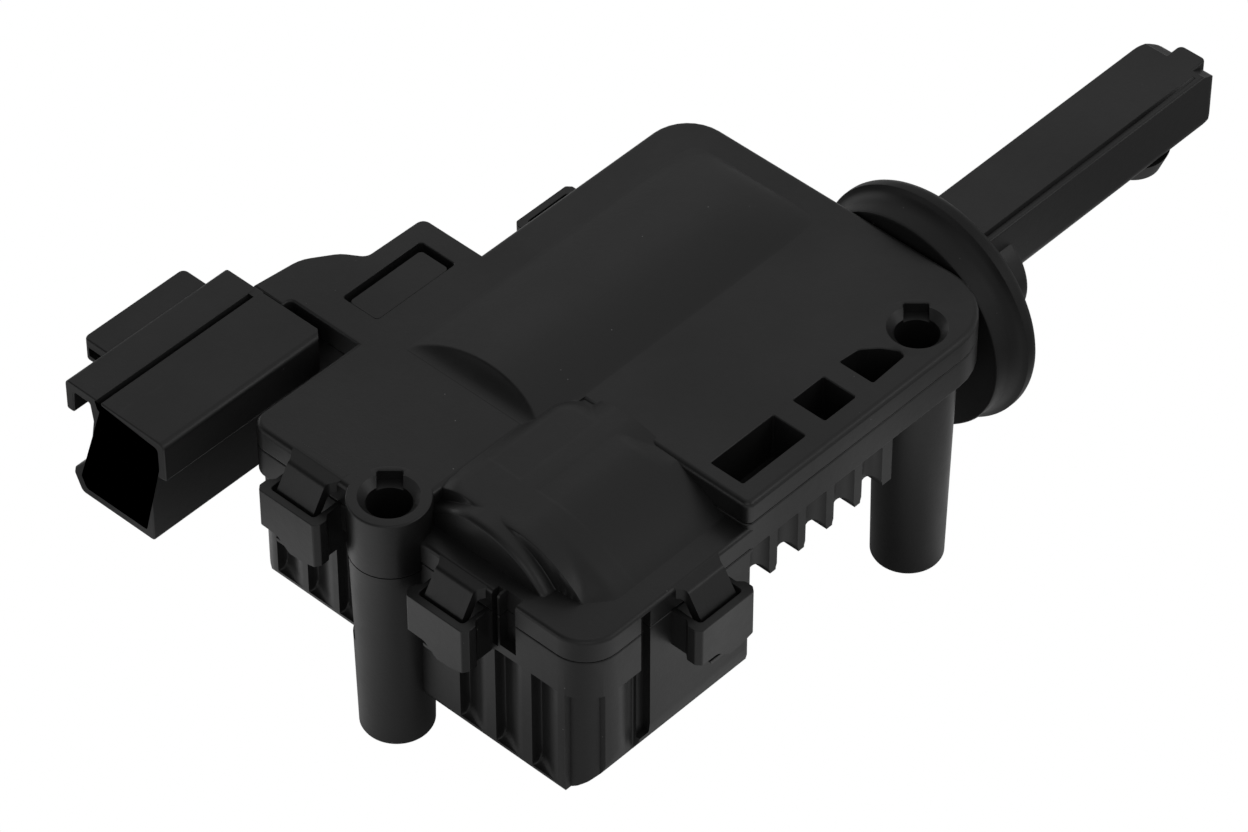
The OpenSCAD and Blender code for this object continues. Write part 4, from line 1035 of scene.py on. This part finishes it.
def build_socket():
    outer = rounded(
        (25.6, -5.9, 0.2), (25.6, 0, 0.9), (36.55, 0, 0.15), (36.95, -1.3, 0.02),
        (37.05, -1.3, 0.02), (37.45, 0, 0.15), (42.88, 0, 0.7), (42.88, -4.8, 0.4),
        (41.6, -4.8, 0.3), (41.4, -1.3, 0.5), (38.6, -1.3, 0.3), (38.2, -4.0, 0.6),
        (39.4, -11.2, 1.5), (42.4, -14.6, 0.6), (42.6, -15.6, 0.6), (41.4, -18.2, 1.0),
        (28.5, -18.1, 0.5), (28.5, -6.3, 0.15))
    inner = rounded(
        (26.8, -4.9, 0.2), (26.8, -1.25, 0.5), (36.0, -1.25, 0.2), (36.2, -2.5, 0.2),
        (37.1, -2.6, 0.2), (37.0, -4.2, 0.4), (38.2, -11.6, 1.2), (41.2, -15.2, 0.5),
        (40.4, -16.9, 0.5), (29.8, -16.8, 0.3), (29.8, -4.0, 0.2), (28.8, -4.0, 0.2),
        (28.6, -5.0, 0.1))
    shell = prism(outer, MOUTH_X, SOCKET_END, bottom=0.22, top=0.25, axis="x", steps=3)
    ledge = prism(rectangle(-5.3, 11.8, 42.0, 47.35, [0.1, 0.1, 0.9, 0.9]), -4.3, -0.85,
                  top=0.3, bottom=0.3)
    under_ledge = block((-7, 9), (43.4, 46.4), (-3.4, -2.0))
    corner = prism([(13.2, 25), (16, 25), (16, 28.2)], -20, 2)
    cavity = prism(inner, MOUTH_X, 4.4, bottom=-0.12, axis="x", steps=2)
    heel = block((5.3, 20), (20, 50), (-40, -14.6))
    groove_end = block((13.4, SOCKET_END), (36.2, 37.8), (-2.0, -0.02))
    return fuse("socket", [shell, ledge, groove_end], [under_ledge, cavity, heel, corner])


dress(build_socket(), "connector_shell")

# %% [markdown]
# ## The seal
# The rubber seal closes the hole in the car's panel. It is a thin bell on the nose with a
# thick round rim that presses on the panel. Everything about it is round, so its section is
# spun once about the pin's axis. The slot for the finger is cut out afterwards.

# %% The seal
def build_seal():
    back, front = NOSE_X + 0.3, NOSE_X + 7.1
    rim_r, rim_at = 1.6, 15.39
    rim = [(front - rim_r + rim_r * math.sin(a), rim_at + rim_r * math.cos(a))
           for a in map(math.radians, range(0, 181, 12))]
    flare = [(back + 2.3 + 2.1 * t, 15.6 + 1.35 * (1 - math.sqrt(1 - (0.97 * t) ** 2)) / 0.757)
             for t in np.linspace(0, 1, 9)]
    foot = [(back, 10.25), (back, 15.2), (back + 0.12, 15.48), (back + 0.4, 15.6)]
    inside = [(front - 1.9, 13.3), (front - 1.9, 12.2), (front - 1.2, 11.6),
              (front - 0.9, 9.4), (front - 0.4, 8.6), (front - 2.2, 8.55), (front - 2.2, 10.25)]
    body = turned(foot + flare + [(front - 2.2, 16.99)] + rim + inside, PIN_AT, steps=128)
    slot = block((70, 90), FINGER_WAY, (PIN_Z, -3.6))
    return fuse("seal", [body], [slot])


dress(build_seal(), "rubber_seal", slot="seal_rubber")

# %% [markdown]
# ## The pin
# The pin is the part that locks: a tube that slides with the screw's nut, and a flat-topped
# finger with a tab and a round foot. The finger has its own outline from each of three
# sides. Sculpting could only come near them. Three prisms that limit each other give all
# three. A groove along the top is lofted, because it runs out towards the tip.

# %% The pin
FINGER = (-20.6, -10.2)  # from side to side
FINGER_TOP, FINGER_LOW = -4.0, -14.2
PIN_X, TUBE_END, TIP_X = 40, 91, 132.0
NUT_SEAT_END, BORE_END = 50.5, 69.5
NUT_SEAT_R, BORE_R = 6.33, 4.4


def build_finger():
    """The bar that lies inside its outlines from above, from the front and from the side."""
    above, tip = FINGER_TOP + 1, TIP_X - 0.05
    plan = prism(rounded(
        (PIN_X, FINGER[0]), (tip, FINGER[0], 1.9), (tip, FINGER[1], 4.8), (PIN_X, FINGER[1]),
        step=8), FINGER_LOW - 0.5, FINGER_TOP, top=0.3, steps=3)
    front = prism(rounded(
        (FINGER[0], FINGER_LOW, 2.6), (FINGER[1], FINGER_LOW, 2.6), (FINGER[1], above),
        (FINGER[0], above), step=8), PIN_X - 1, TIP_X + 1, axis="x")
    side = prism(rounded(
        (PIN_X - 1, FINGER_LOW), (TIP_X, FINGER_LOW, 5.6), (TIP_X, -7.6, 2.4), (131.0, -4.9, 1.8),
        (128.9, FINGER_TOP - 0.1, 0.8), (128.4, above), (PIN_X - 1, above),
        step=8), -21, -9, axis="y")
    return fuse("bar", [plan], limits=[front, side])


def build_groove():
    """The cutter of the groove: a section of its own half width and depth at four places."""
    sections = []
    for x, half, depth in ((86, 0.62, 0.55), (118, 0.6, 0.5), (124, 0.5, 0.32), (128, 0.3, 0.04)):
        shape = ((-1, 1), (-0.8, -0.02), (-0.35, -depth), (0.35, -depth), (0.8, -0.02), (1, 1))
        sections.append([(x, FINGER[0] + 1.0 + half * u, FINGER_TOP + z) for u, z in shape])
    return loft(sections)


def build_pin():
    tube = turned([(PIN_X, BORE_R), (PIN_X, 8.0), (40.2, 8.2), (90.3, 8.2), (90.8, 8.0),
                   (TUBE_END, 7.6), (TUBE_END, 0), (BORE_END, 0), (BORE_END, BORE_R)],
                  PIN_AT, steps=96)
    finger, groove = build_finger(), build_groove()
    tab = prism(rectangle(123, TIP_X - 0.1, -18.55, -14.2, [0, 0.8, 0.8, 0]), -8.6, FINGER_TOP,
                top=0.25, steps=3)
    foot = turned([(-16.8, 0), (-16.8, 3.6), (-16.6, 3.9), (-13.8, 4.95), (-13.8, 0)],
                  (121.5, PIN_Y), "z")
    key = block((PIN_X, TUBE_END), FINGER, (PIN_Z, FINGER_TOP), top=0.3)
    recess = prism(rounded(
        (PIN_Y - 4.2, -13.9, 1.0), (PIN_Y + 4.2, -13.9, 1.0), (PIN_Y + 3.4, -19.6, 1.0),
        (PIN_Y - 3.4, -19.6, 1.0)), 88.2, 92, axis="x")
    flat = block((PIN_X - 1, 82.6), (-30, PIN_Y - 7.2), (-30, -5))
    tube = fuse("tube", [tube], [flat, recess])
    bores = [rod(PIN_AT, PIN_X - 1, NUT_SEAT_END, NUT_SEAT_R),
             rod(PIN_AT, PIN_X - 1, BORE_END, BORE_R)]
    return fuse("pin", [tube, finger, key, tab, foot], [groove] + bores)


dress(build_pin(), "lock_pin", body="plunger")
